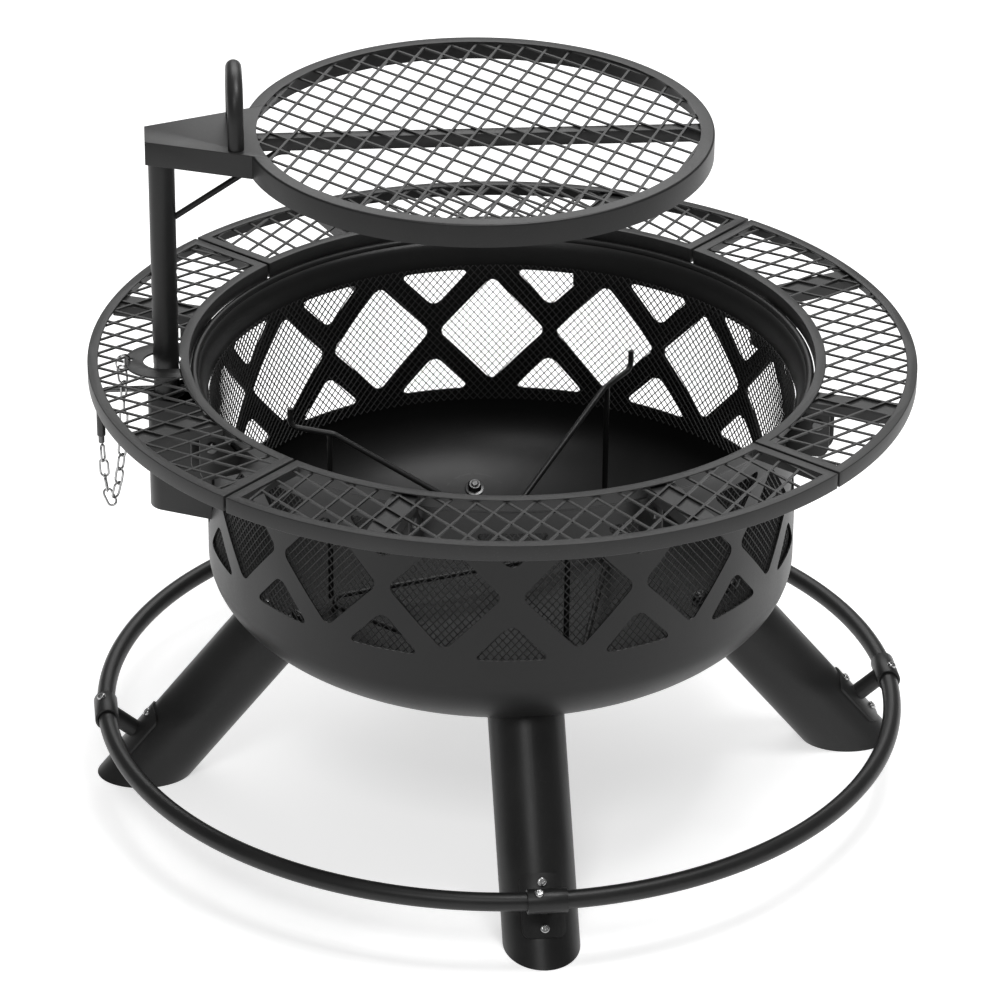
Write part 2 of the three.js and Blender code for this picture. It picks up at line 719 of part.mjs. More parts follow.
// room for the plate in the grille
function horseshoeRoom() {
  const outline = horseshoeOutline(HORSESHOE_RADIUS + GAP, HORSESHOE_END + PAST);
  const bottom = HORSESHOE_TOP - GRILLE_THICK - PAST;
  return toSolid(atPost(raised(outline, bottom, HORSESHOE_TOP + PAST)));
}

// room for the post where it stands close to the table's inner strip
function postPassage() {
  const radius = POST_RADIUS + PASSAGE_PLAY;
  const bottom = TABLE_TOP - TABLE_DEPTH - PAST;
  const top = TABLE_TOP + PAST;
  const bore = revolved([[0, bottom], [radius, bottom], [radius, top], [0, top]], POST_SIDES);
  return toSolid(atPost(bore.translate(POST_X, 0, 0)));
}

const TABLE_FINISH = { color: 0x3a3a3b, roughness: 0.48, metalness: 0.35 };

function addTable() {
  const plainFrame = toGeometry(tableFrame());
  const plainGrille = toGeometry(tableGrille());
  const bar = tableBar();
  const bracket = toGeometry(tableBracket());
  const bowlClearance = toSolid(bowlBody(GAP));
  SIDE_NAMES.forEach((side, index) => {
    const azimuth = index * QUARTER;
    let grille = clocked(plainGrille, azimuth);
    let frame = clocked(plainFrame, azimuth);
    if (side === "left") {
      grille = toGeometry(toSolid(grille).subtract(horseshoeRoom()));
      frame = toGeometry(toSolid(frame).subtract(postPassage()));
    }
    addPart(`table_frame_${side}`, frame, TABLE_FINISH);
    addPart(`table_grille_${side}`, grille, TABLE_FINISH);
    for (const way of [-1, 1]) {
      const hand = way < 0 ? "a" : "b";
      addPart(`table_bar_${side}_${hand}`, clocked(bar, azimuth + way * BAR_ANGLE), TABLE_FINISH);
      const name = `table_bracket_${side}_${hand}`;
      const turned = toSolid(clocked(bracket, azimuth + way * BAR_ANGLE));
      addPart(name, toGeometry(turned.subtract(bowlClearance)), satinBlack);
    }
  });
  addPart("horseshoe_plate", toGeometry(horseshoePlate()), TABLE_FINISH);
}

// ---------------------------------------------------------------- post socket

const SOCKET_STEPS = 12;
const SOCKET_ROOT = 12; // that the socket's block starts inside the bowl's wall
const SOCKET_FLARE = 4; // that its cheeks stand out past the mouth, there

function socketOutline(radius, mouthHalf, mouthX) {
  const reach = Math.hypot(mouthX - POST_X, mouthHalf);
  const toMouth = THREE.MathUtils.radToDeg(Math.atan2(mouthHalf, mouthX - POST_X));
  const tangent = toMouth + THREE.MathUtils.radToDeg(Math.acos(radius / reach));
  return [
    new THREE.Vector2(mouthX, -mouthHalf),
    new THREE.Vector2(mouthX, mouthHalf),
    ...arc(POST_X, 0, radius, tangent, 360 - tangent, SOCKET_STEPS),
  ];
}

const SOCKET_SHEET = 2.4;
const SLEEVE_WALL = 1.4;
const LIP_HALF_GAP = 22; // the lips stay this far from the post's line
const LINER_COLLAR = 0.5;

function addSocket() {
  const mouthX = -(BOWL_RADIUS - SOCKET_ROOT);
  const outer = raised(
    socketOutline(SOCKET_RADIUS, SOCKET_HALF_MOUTH + SOCKET_FLARE, mouthX),
    SOCKET_BOTTOM,
    SOCKET_TOP,
  );
  const inner = raised(
    socketOutline(SOCKET_RADIUS - SOCKET_SHEET, SOCKET_HALF_MOUTH + 1, mouthX + 1),
    SOCKET_BOTTOM - PAST,
    SOCKET_TOP + PAST,
  );
  const lipRadius = BOWL_RADIUS + GAP;
  const lip = pipe(lipRadius, lipRadius + SOCKET_SHEET, SOCKET_BOTTOM, SOCKET_TOP, BOWL_STEPS);
  const opening = box([-TABLE_OUTER, -LIP_HALF_GAP, 0], [0, LIP_HALF_GAP, TABLE_TOP]);
  const block = toSolid(atPost(outer));
  const lips = toSolid(lip).intersect(block).subtract(toSolid(atPost(opening)));
  const folded = block.subtract(toSolid(atPost(inner))).add(lips);
  addPart("post_socket", toGeometry(folded.subtract(toSolid(bowlBody(GAP)))), satinBlack);

  const sleeveRadius = SOCKET_RADIUS - SOCKET_SHEET - GAP;
  const boreRadius = sleeveRadius - SLEEVE_WALL;
  const sleeve = pipe(boreRadius, sleeveRadius, SOCKET_BOTTOM + 1, SOCKET_TOP - GAP, POST_SIDES);
  addPart("socket_sleeve", atPost(sleeve.translate(POST_X, 0, 0)), satinBlack);

  const linerRadius = boreRadius - GAP;
  const linerTop = SOCKET_TOP + LINER_COLLAR;
  const liner = revolved(
    [
      [POST_RADIUS + GAP, SOCKET_BOTTOM + 2],
      [linerRadius, SOCKET_BOTTOM + 2],
      [linerRadius, SOCKET_TOP],
      [SOCKET_RADIUS - 1, SOCKET_TOP],
      [SOCKET_RADIUS - 1, linerTop],
      [POST_RADIUS + GAP, linerTop],
      [POST_RADIUS + GAP, SOCKET_BOTTOM + 2],
    ],
    POST_SIDES,
  );
  addPart("post_liner", atPost(liner.translate(POST_X, 0, 0)), nylon);
}

// ---------------------------------------------------------------- swing grate

function pinBore(radius, from, to) {
  const line = [new THREE.Vector3(from, 0, PIN_Z), new THREE.Vector3(to, 0, PIN_Z)];
  return toSolid(rod(line, radius, PIN_SIDES));
}

const ARM_PLATE = 2;

function addPost() {
  const top = GRATE_TOP - ARM_PLATE - GAP;
  const tube = pipe(POST_RADIUS - POST_WALL, POST_RADIUS, POST_FOOT_Z, top, POST_SIDES);
  let bored = toSolid(tube.translate(POST_X, 0, 0));
  for (let step = -HOLES_BELOW; step <= HOLES_ABOVE; step += 1) {
    const bore = pinBore(PIN_RADIUS + PIN_PLAY, POST_X - 2 * POST_RADIUS, POST_X + 2 * POST_RADIUS);
    bored = bored.subtract(bore.translate([0, 0, step * HOLE_SPACING]));
  }
  addPart("grate_post", atPost(toGeometry(bored)), satinBlack);
}

function armOutline(inset) {
  const slope = (ARM_FRONT_HALF - ARM_BACK_HALF) / (ARM_FRONT_X - ARM_BACK_X);
  const endX = GRATE_X - ARM_END;
  const halfAt = (x) => ARM_BACK_HALF + (x - ARM_BACK_X) * slope - inset / Math.cos(Math.atan(slope));
  return [
    new THREE.Vector2(ARM_BACK_X + inset, -halfAt(ARM_BACK_X + inset)),
    new THREE.Vector2(endX, -halfAt(endX)),
    new THREE.Vector2(endX, halfAt(endX)),
    new THREE.Vector2(ARM_BACK_X + inset, halfAt(ARM_BACK_X + inset)),
  ];
}

function disc(radius, bottom, top, steps) {
  const round = revolved([[0, bottom], [radius, bottom], [radius, top], [0, top]], steps);
  return toSolid(round.translate(GRATE_X, 0, 0));
}

const HOOP_STEPS = 40;
const GRILLE_PLAY = 1.5; // between the grille's edge and the hoop
const GRILLE_EDGE = 5; // solid edge left round the grille
const CROSSBAR_WING = 13;
const CROSSBAR_DROP = 11;
const CROSSBAR_PLAY = 3; // between the crossbar's ends and the hoop

function armSolid(grow) {
  const bottom = GRATE_TOP - GRATE_BAND - 1 - grow;
  const slab = toSolid(raised(armOutline(-grow), bottom, GRATE_TOP + grow));
  const mouth = disc(GRATE_RADIUS - GRATE_FLANGE - grow, bottom - PAST, GRATE_TOP + PAST, HOOP_STEPS);
  if (grow > 0) return slab.subtract(mouth);
  const pocket = toSolid(raised(armOutline(ARM_PLATE), bottom - PAST, GRATE_TOP - ARM_PLATE));
  const skirt = disc(GRATE_RADIUS + GAP, bottom - PAST, GRATE_TOP - ARM_PLATE, HOOP_STEPS);
  return slab.subtract(pocket).subtract(mouth).subtract(skirt);
}

function hoopSolid() {
  const inner = GRATE_RADIUS - GRATE_FLANGE;
  const low = GRATE_TOP - GRATE_BAND;
  const ring = revolved(
    [
      [inner, GRATE_TOP - ARM_PLATE],
      [GRATE_RADIUS - ARM_PLATE, GRATE_TOP - ARM_PLATE],
      [GRATE_RADIUS - ARM_PLATE, low],
      [GRATE_RADIUS, low],
      [GRATE_RADIUS, GRATE_TOP],
      [inner, GRATE_TOP],
      [inner, GRATE_TOP - ARM_PLATE],
    ],
    HOOP_STEPS,
  );
  return toSolid(ring.translate(GRATE_X, 0, 0)).subtract(armSolid(GAP));
}

function cookingGrille() {
  const top = GRATE_TOP - ARM_PLATE - GAP;
  const bottom = top - GRILLE_THICK;
  const radius = GRATE_RADIUS - ARM_PLATE - GRILLE_PLAY;
  const openings = grilleOpenings(radius, bottom, top).translate([GRATE_X, 0, 0]);
  const window = disc(radius - GRILLE_EDGE, bottom - PAST, top + PAST, HOOP_STEPS);
  return disc(radius, bottom, top, HOOP_STEPS).subtract(openings.intersect(window));
}

function crossBar() {
  const top = GRATE_TOP - ARM_PLATE - 2 * GAP - GRILLE_THICK;
  const wing = CROSSBAR_WING;
  const drop = CROSSBAR_DROP;
  const reach = GRATE_RADIUS - ARM_PLATE - CROSSBAR_PLAY;
  const outline = [
    new THREE.Vector2(-wing / 2, -drop),
    new THREE.Vector2(-wing / 2 + ARM_PLATE, -drop),
    new THREE.Vector2(-wing / 2 + ARM_PLATE, -ARM_PLATE),
    new THREE.Vector2(wing / 2, -ARM_PLATE),
    new THREE.Vector2(wing / 2, 0),
    new THREE.Vector2(-wing / 2, 0),
  ];
  const bar = raised(outline, GRATE_X - reach, GRATE_X + reach);
  return bar.rotateX(Math.PI / 2).rotateZ(Math.PI / 2).translate(0, 0, top);
}

const BRACE_LOW_Z = 609;
const BRACE_BEND_X = -218;
const BRACE_BEND_Y = -4;
const BRACE_END_X = -188;
const BRACE_END_Y = -5.5;
const BRACE_RADIUS = 3;
const BRACE_SIDES = 10;
const BRACE_BEND = 8;

function addGrate() {
  addPost();
  addPart("grate_arm", atPost(toGeometry(armSolid(0))), satinBlack);
  addPart("grate_hoop", atPost(toGeometry(hoopSolid())), satinBlack);
  addPart("grate_grille", atPost(toGeometry(cookingGrille())), TABLE_FINISH);
  addPart("grate_crossbar", atPost(crossBar()), satinBlack);

  const footZ = GRATE_TOP + GAP;
  const crownZ = GRATE_TOP + HANDLE_HEIGHT - HANDLE_RADIUS;
  const handle = rod(
    [
      new THREE.Vector3(HANDLE_X, -HANDLE_HALF, footZ),
      new THREE.Vector3(HANDLE_X, -HANDLE_HALF, crownZ),
      new THREE.Vector3(HANDLE_X, HANDLE_HALF, crownZ),
      new THREE.Vector3(HANDLE_X, HANDLE_HALF, footZ),
    ],
    HANDLE_RADIUS,
    HANDLE_SIDES,
    HANDLE_BEND,
    HANDLE_BEND_STEPS,
  );
  addPart("grate_handle", atPost(handle), satinBlack);

  const underBar = GRATE_TOP - ARM_PLATE - 2 * GAP - GRILLE_THICK - CROSSBAR_DROP;
  const braceTop = underBar - BRACE_RADIUS - 2 * GAP;
  const braceStart = POST_X + POST_RADIUS + BRACE_RADIUS;
  const brace = rod(
    [
      new THREE.Vector3(braceStart, 0, BRACE_LOW_Z),
      new THREE.Vector3(BRACE_BEND_X, BRACE_BEND_Y, braceTop),
      new THREE.Vector3(BRACE_END_X, BRACE_END_Y, braceTop),
    ],
    BRACE_RADIUS,
    BRACE_SIDES,
    BRACE_BEND,
  );
  addPart("grate_brace", atPost(brace), satinBlack);
}

function addPin() {
  const pin = rod(
    [
      new THREE.Vector3(POST_X + POST_RADIUS + PIN_TIP, 0, PIN_Z),
      new THREE.Vector3(PIN_REACH, 0, PIN_Z),
      new THREE.Vector3(PIN_REACH, 0, PIN_Z - PIN_DROP),
    ],
    PIN_RADIUS,
    PIN_SIDES,
    PIN_BEND,
  );
  addPart("locking_pin", atPost(pin), zinc);
  const grip = pipe(PIN_RADIUS + GAP, GRIP_RADIUS, GRIP_BOTTOM, GRIP_TOP, GRIP_SIDES);
  addPart("pin_grip", atPost(grip.translate(PIN_REACH, 0, 0)), vinyl);
}

// ---------------------------------------------------------------- chain

// the chain hangs from the horseshoe plate, dips under the table and rises to the pin's end
function addChain() {
  const hang = new THREE.CatmullRomCurve3([
    new THREE.Vector3(-373.2, 5, 450),
    new THREE.Vector3(-371.8, 0.5, 425),
    new THREE.Vector3(-374.6, 0, 368.5),
    new THREE.Vector3(-381, 1, 322),
    new THREE.Vector3(-387.1, 3, 307.5),
    new THREE.Vector3(-392, 6, 326),
    new THREE.Vector3(-394.6, 9.4, 361),
  ]);
  addPart("pin_chain", sweptTube(hang.getPoints(CHAIN_STEPS), CHAIN_RADIUS, CHAIN_SIDES), zinc);
}

// ---------------------------------------------------------------- log rack

function addRack() {
  const corners = [0, 120, 240].map((turn) => RACK_CLOCK + turn);
  const bend = RACK_BEND;
  const cornerRadius = RACK_LEG_RADIUS + (bend * Math.cos(Math.PI / 6)) / 2;
  const stops = [];
  corners.forEach((azimuth) => {
    const corner = polar(cornerRadius, azimuth, RACK_BASE_Z);
    const before = polar(cornerRadius, azimuth - 120, RACK_BASE_Z);
    const after = polar(cornerRadius, azimuth + 120, RACK_BASE_Z);
    const start = corner.clone().add(before.sub(corner).setLength(bend));
    const end = corner.clone().add(after.sub(corner).setLength(bend));
    const turn = new THREE.QuadraticBezierCurve3(start, corner, end);
    for (let step = 0; step <= 4; step += 1) stops.push(turn.getPoint(step / 4));
  });
  const first = stops[0];
  const last = stops[stops.length - 1];
  const open = stops.concat([last.clone().lerp(first, 0.996)]);
  addPart("rack_base", sweptTube(open, RACK_ROD, 8), charredBlack);

  corners.forEach((azimuth, index) => {
    const rise = 5;
    const upper = rod(
      [
        polar(RACK_LEG_RADIUS + RACK_SEAT, azimuth, RACK_TOP_Z + rise + RACK_TIP),
        polar(RACK_LEG_RADIUS + RACK_SEAT, azimuth, RACK_TOP_Z + rise),
        polar(RACK_LEG_RADIUS - 4, azimuth, RACK_TOP_Z),
        polar(RACK_ROD * 2 + GAP, azimuth, RACK_CENTRE_Z),
      ],
      RACK_ROD,
      8,
      7,
    );
    const leg = rod(
      [
        polar(RACK_LEG_RADIUS, azimuth, RACK_TOP_Z),
        polar(RACK_LEG_RADIUS, azimuth, RACK_BASE_Z + 2 * RACK_ROD + GAP),
      ],
      RACK_ROD,
      8,
    );
    addPart(`rack_arm_${index + 1}`, toGeometry(toSolid(upper).add(toSolid(leg))), charredBlack);
  });
}

addBowl();
addLegs();
addFootRing();
addTable();
addSocket();
addGrate();
addPin();
addChain();
addRack();

export default group;
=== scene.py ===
"""Builds the looks of a wood-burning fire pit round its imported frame.

The pit is a dished bowl with a lattice wall and a spark screen, on four splayed tube legs tied
by a foot ring. A table of expanded metal in four quadrants runs round the rim. A cooking grate
swings and slides on a post at the -X side, held by a chained pin, and a loose rack holds the logs.
Lengths are in metres and the pit stands on z = 0 with its front towards -Y. Azimuths are degrees
from the front, turning towards +X.
"""

from __future__ import annotations

import logging
import math
from dataclasses import dataclass
from enum import Enum
from itertools import pairwise
from typing import Callable, Iterable, Mapping, Sequence

import bmesh
import bpy
from mathutils import Matrix, Vector


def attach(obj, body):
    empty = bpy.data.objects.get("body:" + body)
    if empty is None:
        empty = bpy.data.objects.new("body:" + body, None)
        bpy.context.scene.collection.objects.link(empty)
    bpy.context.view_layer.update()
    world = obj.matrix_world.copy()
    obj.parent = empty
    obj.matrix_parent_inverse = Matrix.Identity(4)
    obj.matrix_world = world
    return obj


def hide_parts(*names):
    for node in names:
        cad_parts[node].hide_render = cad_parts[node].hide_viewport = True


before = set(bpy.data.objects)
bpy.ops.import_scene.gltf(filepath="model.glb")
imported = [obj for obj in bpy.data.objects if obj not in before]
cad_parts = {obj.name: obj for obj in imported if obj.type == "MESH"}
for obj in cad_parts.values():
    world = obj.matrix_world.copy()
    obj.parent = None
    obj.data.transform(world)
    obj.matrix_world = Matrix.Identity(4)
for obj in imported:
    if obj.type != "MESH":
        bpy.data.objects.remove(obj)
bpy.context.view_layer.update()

LOG = logging.getLogger("fire_pit")
SIDES = ("front", "right", "back", "left")
ORIGIN = Vector((0, 0, 0))
UP = Vector((0, 0, 1))
POST_X = -0.3294
POST_CLOCK = -1.4  # degrees that the post and the grate stand round from the -X side
PAST = 0.01  # how far a tool runs past what it cuts
QUARTER = 90
SEAM_FREE = 1e-5  # welds the seam of a spun shape


class Body(Enum):
    """The moving groups of the pit."""

    PIT = "pit"
    SWIVEL = "swivel"
    GRATE = "grate"
    PIN = "pin"
    RACK = "rack"


class Pick(Enum):
    """What an edit-mode selection takes."""

    VERTS = "VERT"
    EDGES = "EDGE"
    FACES = "FACE"


class Cut(Enum):
    """How one solid works on another."""

    REMOVE = "DIFFERENCE"
    KEEP_INSIDE = "INTERSECT"


def polar(radius: float, azimuth: float, height: float = 0.0) -> Vector:
    """Gives the point at a radius and azimuth round the pit.

    Args:
        radius: distance from the pit's axis.
        azimuth: degrees from the front, towards +X.
        height: height above the floor.

    Returns:
        The point.
    """
    angle = math.radians(azimuth)
    return Vector((radius * math.sin(angle), -radius * math.cos(angle), height))


# ------------------------------------------------------------------------ finishes


class Signal:
    """A shader value that takes part in arithmetic."""

    def __init__(self, recipe: Recipe, socket: bpy.types.NodeSocket) -> None:
        """Wraps a socket of the recipe."""
        self.recipe = recipe
        self.socket = socket

    def _maths(self, operation: str, first: Signal | float, second: Signal | float) -> Signal:
        """Adds a Math node."""
        inputs = {0: first, 1: second}
        return self.recipe.node("ShaderNodeMath", {"operation": operation}, inputs)

    def __add__(self, other: Signal | float) -> Signal:
        """Adds."""
        return self._maths("ADD", self, other)

    __radd__ = __add__

    def __sub__(self, other: Signal | float) -> Signal:
        """Subtracts."""
        return self._maths("SUBTRACT", self, other)

    def __rsub__(self, other: Signal | float) -> Signal:
        """Subtracts from a number."""
        return self._maths("SUBTRACT", other, self)

    def __mul__(self, other: Signal | float) -> Signal:
        """Multiplies."""
        return self._maths("MULTIPLY", self, other)

    __rmul__ = __mul__

    def above(self, level: float, width: float) -> Signal:
        """Rises from 0 to 1 as the value passes a level.

        Args:
            level: where the rise starts.
            width: how far it takes.

        Returns:
            The mask.
        """
        inputs = {"Value": self, "From Min": level, "From Max": level + width}
        settings = {"interpolation_type": "SMOOTHSTEP"}
        return self.recipe.node("ShaderNodeMapRange", settings, inputs)


class Recipe:
    """The node tree of one material."""

    def __init__(self, name: str) -> None:
        """Makes the material with a bare surface shader."""
        self.material = bpy.data.materials.new(name)
        self.material.use_nodes = True
        self.tree = self.material.node_tree
        self.tree.nodes.clear()
        output = self.tree.nodes.new("ShaderNodeOutputMaterial")
        self.surface = self.tree.nodes.new("ShaderNodeBsdfPrincipled")
        self.tree.links.new(self.surface.outputs["BSDF"], output.inputs["Surface"])

    def node(
        self,
        kind: str,
        settings: Mapping[str, object],
        inputs: Mapping[int | str, object],
        output: int | str = 0,
    ) -> Signal:
        """Adds a node.

        Args:
            kind: the node's type.
            settings: attributes of the node, set before its sockets.
            inputs: a value or a signal for each socket that isn't left as it is.
            output: the socket that is passed on.

        Returns:
            The chosen output.
        """
        node = self.tree.nodes.new(kind)
        for key, value in settings.items():
            setattr(node, key, value)
        for key, value in inputs.items():
            self.feed(node.inputs[key], value)
        return Signal(self, node.outputs[output])

    def feed(self, socket: bpy.types.NodeSocket, value: object) -> None:
        """Links a signal to a socket, or sets the socket's own value."""
        if isinstance(value, Signal):
            self.tree.links.new(value.socket, socket)
        else:
            socket.default_value = value

    def place(self) -> Signal:
        """Gives the place on the object, in metres."""
        return self.node("ShaderNodeTexCoord", {}, {}, "Object")

    def noise(self, scale: float, detail: float = 2.0) -> Signal:
        """Gives a cloudy pattern.

        Args:
            scale: patches to the metre.
            detail: how many finer layers it has.

        Returns:
            A value about one half.
        """
        inputs = {"Vector": self.place(), "Scale": scale, "Detail": detail}
        return self.node("ShaderNodeTexNoise", {}, inputs, "Fac")

    def blend(self, mask: Signal, first: object, second: object) -> Signal:
        """Mixes two colours by a mask."""
        inputs = {0: mask, 6: first, 7: second}
        return self.node("ShaderNodeMix", {"data_type": "RGBA"}, inputs, 2)

    def bump(self, height: Signal, distance: float, strength: float = 1.0) -> None:
        """Raises the surface by a height signal."""
        inputs = {"Height": height, "Distance": distance, "Strength": strength}
        self.feed(self.surface.inputs["Normal"], self.node("ShaderNodeBump", {}, inputs))

    def set(self, **values: object) -> None:
        """Sets sockets of the surface, named with underscores for spaces."""
        for key, value in values.items():
            self.feed(self.surface.inputs[key.replace("_", " ")], value)


def grey(level: float, warmth: float = 0.0) -> tuple[float, float, float, float]:
    """Gives a linear grey, a little warm or cool."""
    return (level * (1 + warmth), level, level * (1 - warmth), 1.0)


@dataclass(frozen=True)
class BakedPaint:
    """Black heat-resistant paint baked on sheet steel, with a fine orange peel."""

    name: str
    level: float
    roughness: float
    peel: float = 0.00006
    slot: str = "satin_black"

    def make(self) -> bpy.types.Material:
        """Builds the material."""
        recipe = Recipe(self.name)
        clouds = recipe.noise(14, 4)
        flecks = recipe.noise(420, 2)
        thin = clouds.above(0.42, 0.3)
        base = recipe.blend(thin, grey(self.level * 0.86), grey(self.level * 1.12, 0.01))
        speck = flecks.above(0.62, 0.1) * 0.35
        recipe.set(Base_Color=recipe.blend(speck, base, grey(self.level * 1.7)))
        recipe.set(Roughness=self.roughness + (clouds - 0.5) * 0.16 + (flecks - 0.5) * 0.08)
        recipe.set(Metallic=0.0, Specular_IOR_Level=0.32)
        recipe.bump(recipe.noise(950, 1) + flecks * 0.5, self.peel)
        return recipe.material


@dataclass(frozen=True)
class ZincPlate:
    """Bright zinc plating on fasteners and links, a little clouded."""

    name: str
    level: float
    roughness: float
    slot: str = "zinc"

    def make(self) -> bpy.types.Material:
        """Builds the material."""
        recipe = Recipe(self.name)
        clouds = recipe.noise(260, 3)
        base = recipe.blend(clouds, grey(self.level * 0.75, -0.02), grey(self.level * 1.15, 0.01))
        recipe.set(Base_Color=base, Metallic=1.0)
        recipe.set(Roughness=self.roughness + (clouds - 0.5) * 0.2)
        recipe.bump(recipe.noise(1800, 2), 0.00004)
        return recipe.material


@dataclass(frozen=True)
class DippedVinyl:
    """Glossy black vinyl, with the slow waves that dipping leaves."""

    name: str
    level: float
    slot: str = "vinyl"

    def make(self) -> bpy.types.Material:
        """Builds the material."""
        recipe = Recipe(self.name)
        waves = recipe.noise(120, 1)
        recipe.set(Base_Color=recipe.blend(waves, grey(self.level), grey(self.level * 1.6)))
        recipe.set(Roughness=0.22 + waves * 0.12)
        recipe.bump(waves, 0.0003)
        return recipe.material


@dataclass(frozen=True)
class MouldedNylon:
    """Black moulded nylon with a fine grain."""

    name: str
    level: float
    slot: str = "nylon"

    def make(self) -> bpy.types.Material:
        """Builds the material."""
        recipe = Recipe(self.name)
        grain = recipe.noise(1400, 2)
        recipe.set(Base_Color=recipe.blend(grain, grey(self.level * 0.8), grey(self.level * 1.2)))
        recipe.set(Roughness=0.5 + (grain - 0.5) * 0.2)
        recipe.bump(grain, 0.00008)
        return recipe.material


Finish = BakedPaint | ZincPlate | DippedVinyl | MouldedNylon

# One black paint in five copies, each level set by how light falls on its parts rather than by the
# paint. The table's higher level is painted light on its lit tops. The bowl's and the rack's low
# levels are painted shade inside the bowl. The frame's and the screen's levels are set the same way
# for their parts.
TABLE_PAINT = BakedPaint("table_paint", 0.024, 0.44, slot="table_black")
FRAME_PAINT = BakedPaint("frame_paint", 0.014, 0.40)
BOWL_PAINT = BakedPaint("bowl_paint", 0.007, 0.42, slot="bowl_black")
SCREEN_PAINT = BakedPaint("screen_paint", 0.030, 0.45, slot="screen_black")
RACK_PAINT = BakedPaint("rack_paint", 0.008, 0.38, slot="rack_black")
ZINC = ZincPlate("zinc_plate", 0.42, 0.24)
DARK_ZINC = ZincPlate("dark_plate", 0.12, 0.34)
VINYL = DippedVinyl("dipped_vinyl", 0.008)
NYLON = MouldedNylon("moulded_nylon", 0.012)
MATERIALS: dict[str, bpy.types.Material] = {}


def material_of(finish: Finish) -> bpy.types.Material:
    """Gives the material of a finish, made once."""
    if finish.name not in MATERIALS:
        MATERIALS[finish.name] = finish.make()
    return MATERIALS[finish.name]


# ------------------------------------------------------------------------ hand tools


class Bench:
    """Hand tools for one mesh at a time."""

    @staticmethod
    def leave() -> None:
        """Goes back to object mode with nothing selected."""
        if bpy.context.object and bpy.context.object.mode != "OBJECT":
            bpy.ops.object.mode_set(mode="OBJECT")
        bpy.ops.object.select_all(action="DESELECT")

    @staticmethod
    def start(name: str) -> bpy.types.Object:
        """Opens an empty mesh at the origin for editing."""
        Bench.leave()
        bpy.ops.object.add(type="MESH", enter_editmode=True)
        made = bpy.context.object
        made.name = name
        made.data.name = name
        return made

    @staticmethod
    def take(piece: bpy.types.Object, edit: bool = False) -> None:
        """Selects one object alone, and opens its mesh if asked."""
        Bench.leave()
        piece.select_set(True)
        bpy.context.view_layer.objects.active = piece
        if edit:
            bpy.ops.object.mode_set(mode="EDIT")

    @staticmethod
    def pick(piece: bpy.types.Object, kind: Pick, test: Callable[[object], bool]) -> None:
        """Selects the elements of the open mesh that pass a test."""
        bpy.ops.mesh.select_mode(type=kind.value)
        bpy.ops.mesh.select_all(action="DESELECT")
        mesh = bmesh.from_edit_mesh(piece.data)
        found = {Pick.VERTS: mesh.verts, Pick.EDGES: mesh.edges, Pick.FACES: mesh.faces}[kind]
        for element in found:
            element.select_set(test(element))
        mesh.select_flush_mode()
        bmesh.update_edit_mesh(piece.data)

    @staticmethod
    def draw(points: Sequence[Vector]) -> None:
        """Pulls one vertex through the points, leaving a chain of edges."""
        bpy.ops.mesh.select_mode(type="VERT")
        bpy.ops.mesh.primitive_plane_add(size=0.001, location=points[0])
        bpy.ops.mesh.merge(type="CENTER")
        for before, after in pairwise(points):
            Bench.pull(after - before)

    @staticmethod
    def pull(step: Vector) -> None:
        """Extrudes the selection by a step."""
        bpy.ops.mesh.extrude_region_move(TRANSFORM_OT_translate={"value": step})

    @staticmethod
    def spin(
        degrees: float,
        steps: int,
        centre: Vector = ORIGIN,
        axis: Vector = UP,
        copies: bool = False,
    ) -> None:
        """Sweeps the selection round an axis by the right-hand rule, or leaves copies round it."""
        angle = -math.radians(degrees)
        bpy.ops.mesh.spin(steps=steps, angle=angle, center=centre, axis=axis, dupli=copies)

    @staticmethod
    def weld(threshold: float = 1e-6) -> None:
        """Merges doubles of the open mesh and turns its faces outwards."""
        bpy.ops.mesh.select_all(action="SELECT")
        bpy.ops.mesh.remove_doubles(threshold=threshold)
        bpy.ops.mesh.normals_make_consistent(inside=False)

    @staticmethod
    def prism(name: str, outline: Sequence[Vector], depth: Vector) -> bpy.types.Object:
        """Makes a solid with a flat outline.

        Args:
            name: the piece's name.
            outline: the corners, in one plane.
            depth: how far the outline is pulled.

        Returns:
            The solid, still open for editing.
        """
        piece = Bench.start(name)
        Bench.draw([*outline, outline[0]])
        bpy.ops.mesh.select_all(action="SELECT")
        bpy.ops.mesh.remove_doubles(threshold=1e-6)
        bpy.ops.mesh.edge_face_add()
        Bench.pull(depth)
        Bench.weld()
        return piece

    @staticmethod
    def round_edges(
        piece: bpy.types.Object, test: Callable[[object], bool], radius: float, segments: int
    ) -> None:
        """Bevels the edges of the open mesh that pass a test."""
        Bench.pick(piece, Pick.EDGES, test)
        bpy.ops.mesh.bevel(offset=radius, segments=segments, affect="EDGES")

    @staticmethod
    def apply(piece: bpy.types.Object, kind: str, **settings: object) -> None:
        """Adds a modifier with the settings given and applies it."""
        Bench.take(piece)
        modifier = piece.modifiers.new(kind.lower(), kind)
        for key, value in settings.items():
            setattr(modifier, key, value)
        bpy.ops.object.modifier_apply(modifier=modifier.name)

    @staticmethod
    def work(
        piece: bpy.types.Object, tool: bpy.types.Object, how: Cut = Cut.REMOVE, keep: bool = False
    ) -> None:
        """Cuts or joins a solid with a tool, which is thrown away unless it is kept."""
        Bench.apply(piece, "BOOLEAN", object=tool, operation=how.value, solver="MANIFOLD")
        if not keep:
            bpy.data.objects.remove(tool, do_unlink=True)

    @staticmethod
    def thicken(piece: bpy.types.Object, thickness: float, side: float = -1.0) -> None:
        """Gives a sheet its thickness, inwards unless told otherwise."""
        settings = {"thickness": thickness, "offset": side, "use_even_offset": True}
        Bench.apply(piece, "SOLIDIFY", **settings)

    @staticmethod
    def soften(piece: bpy.types.Object, width: float, segments: int = 2, angle: float = 35) -> None:
        """Rounds every sharp edge."""
        limit = math.radians(angle)
        settings = {"width": width, "segments": segments, "angle_limit": limit}
        Bench.apply(piece, "BEVEL", limit_method="ANGLE", harden_normals=False, **settings)

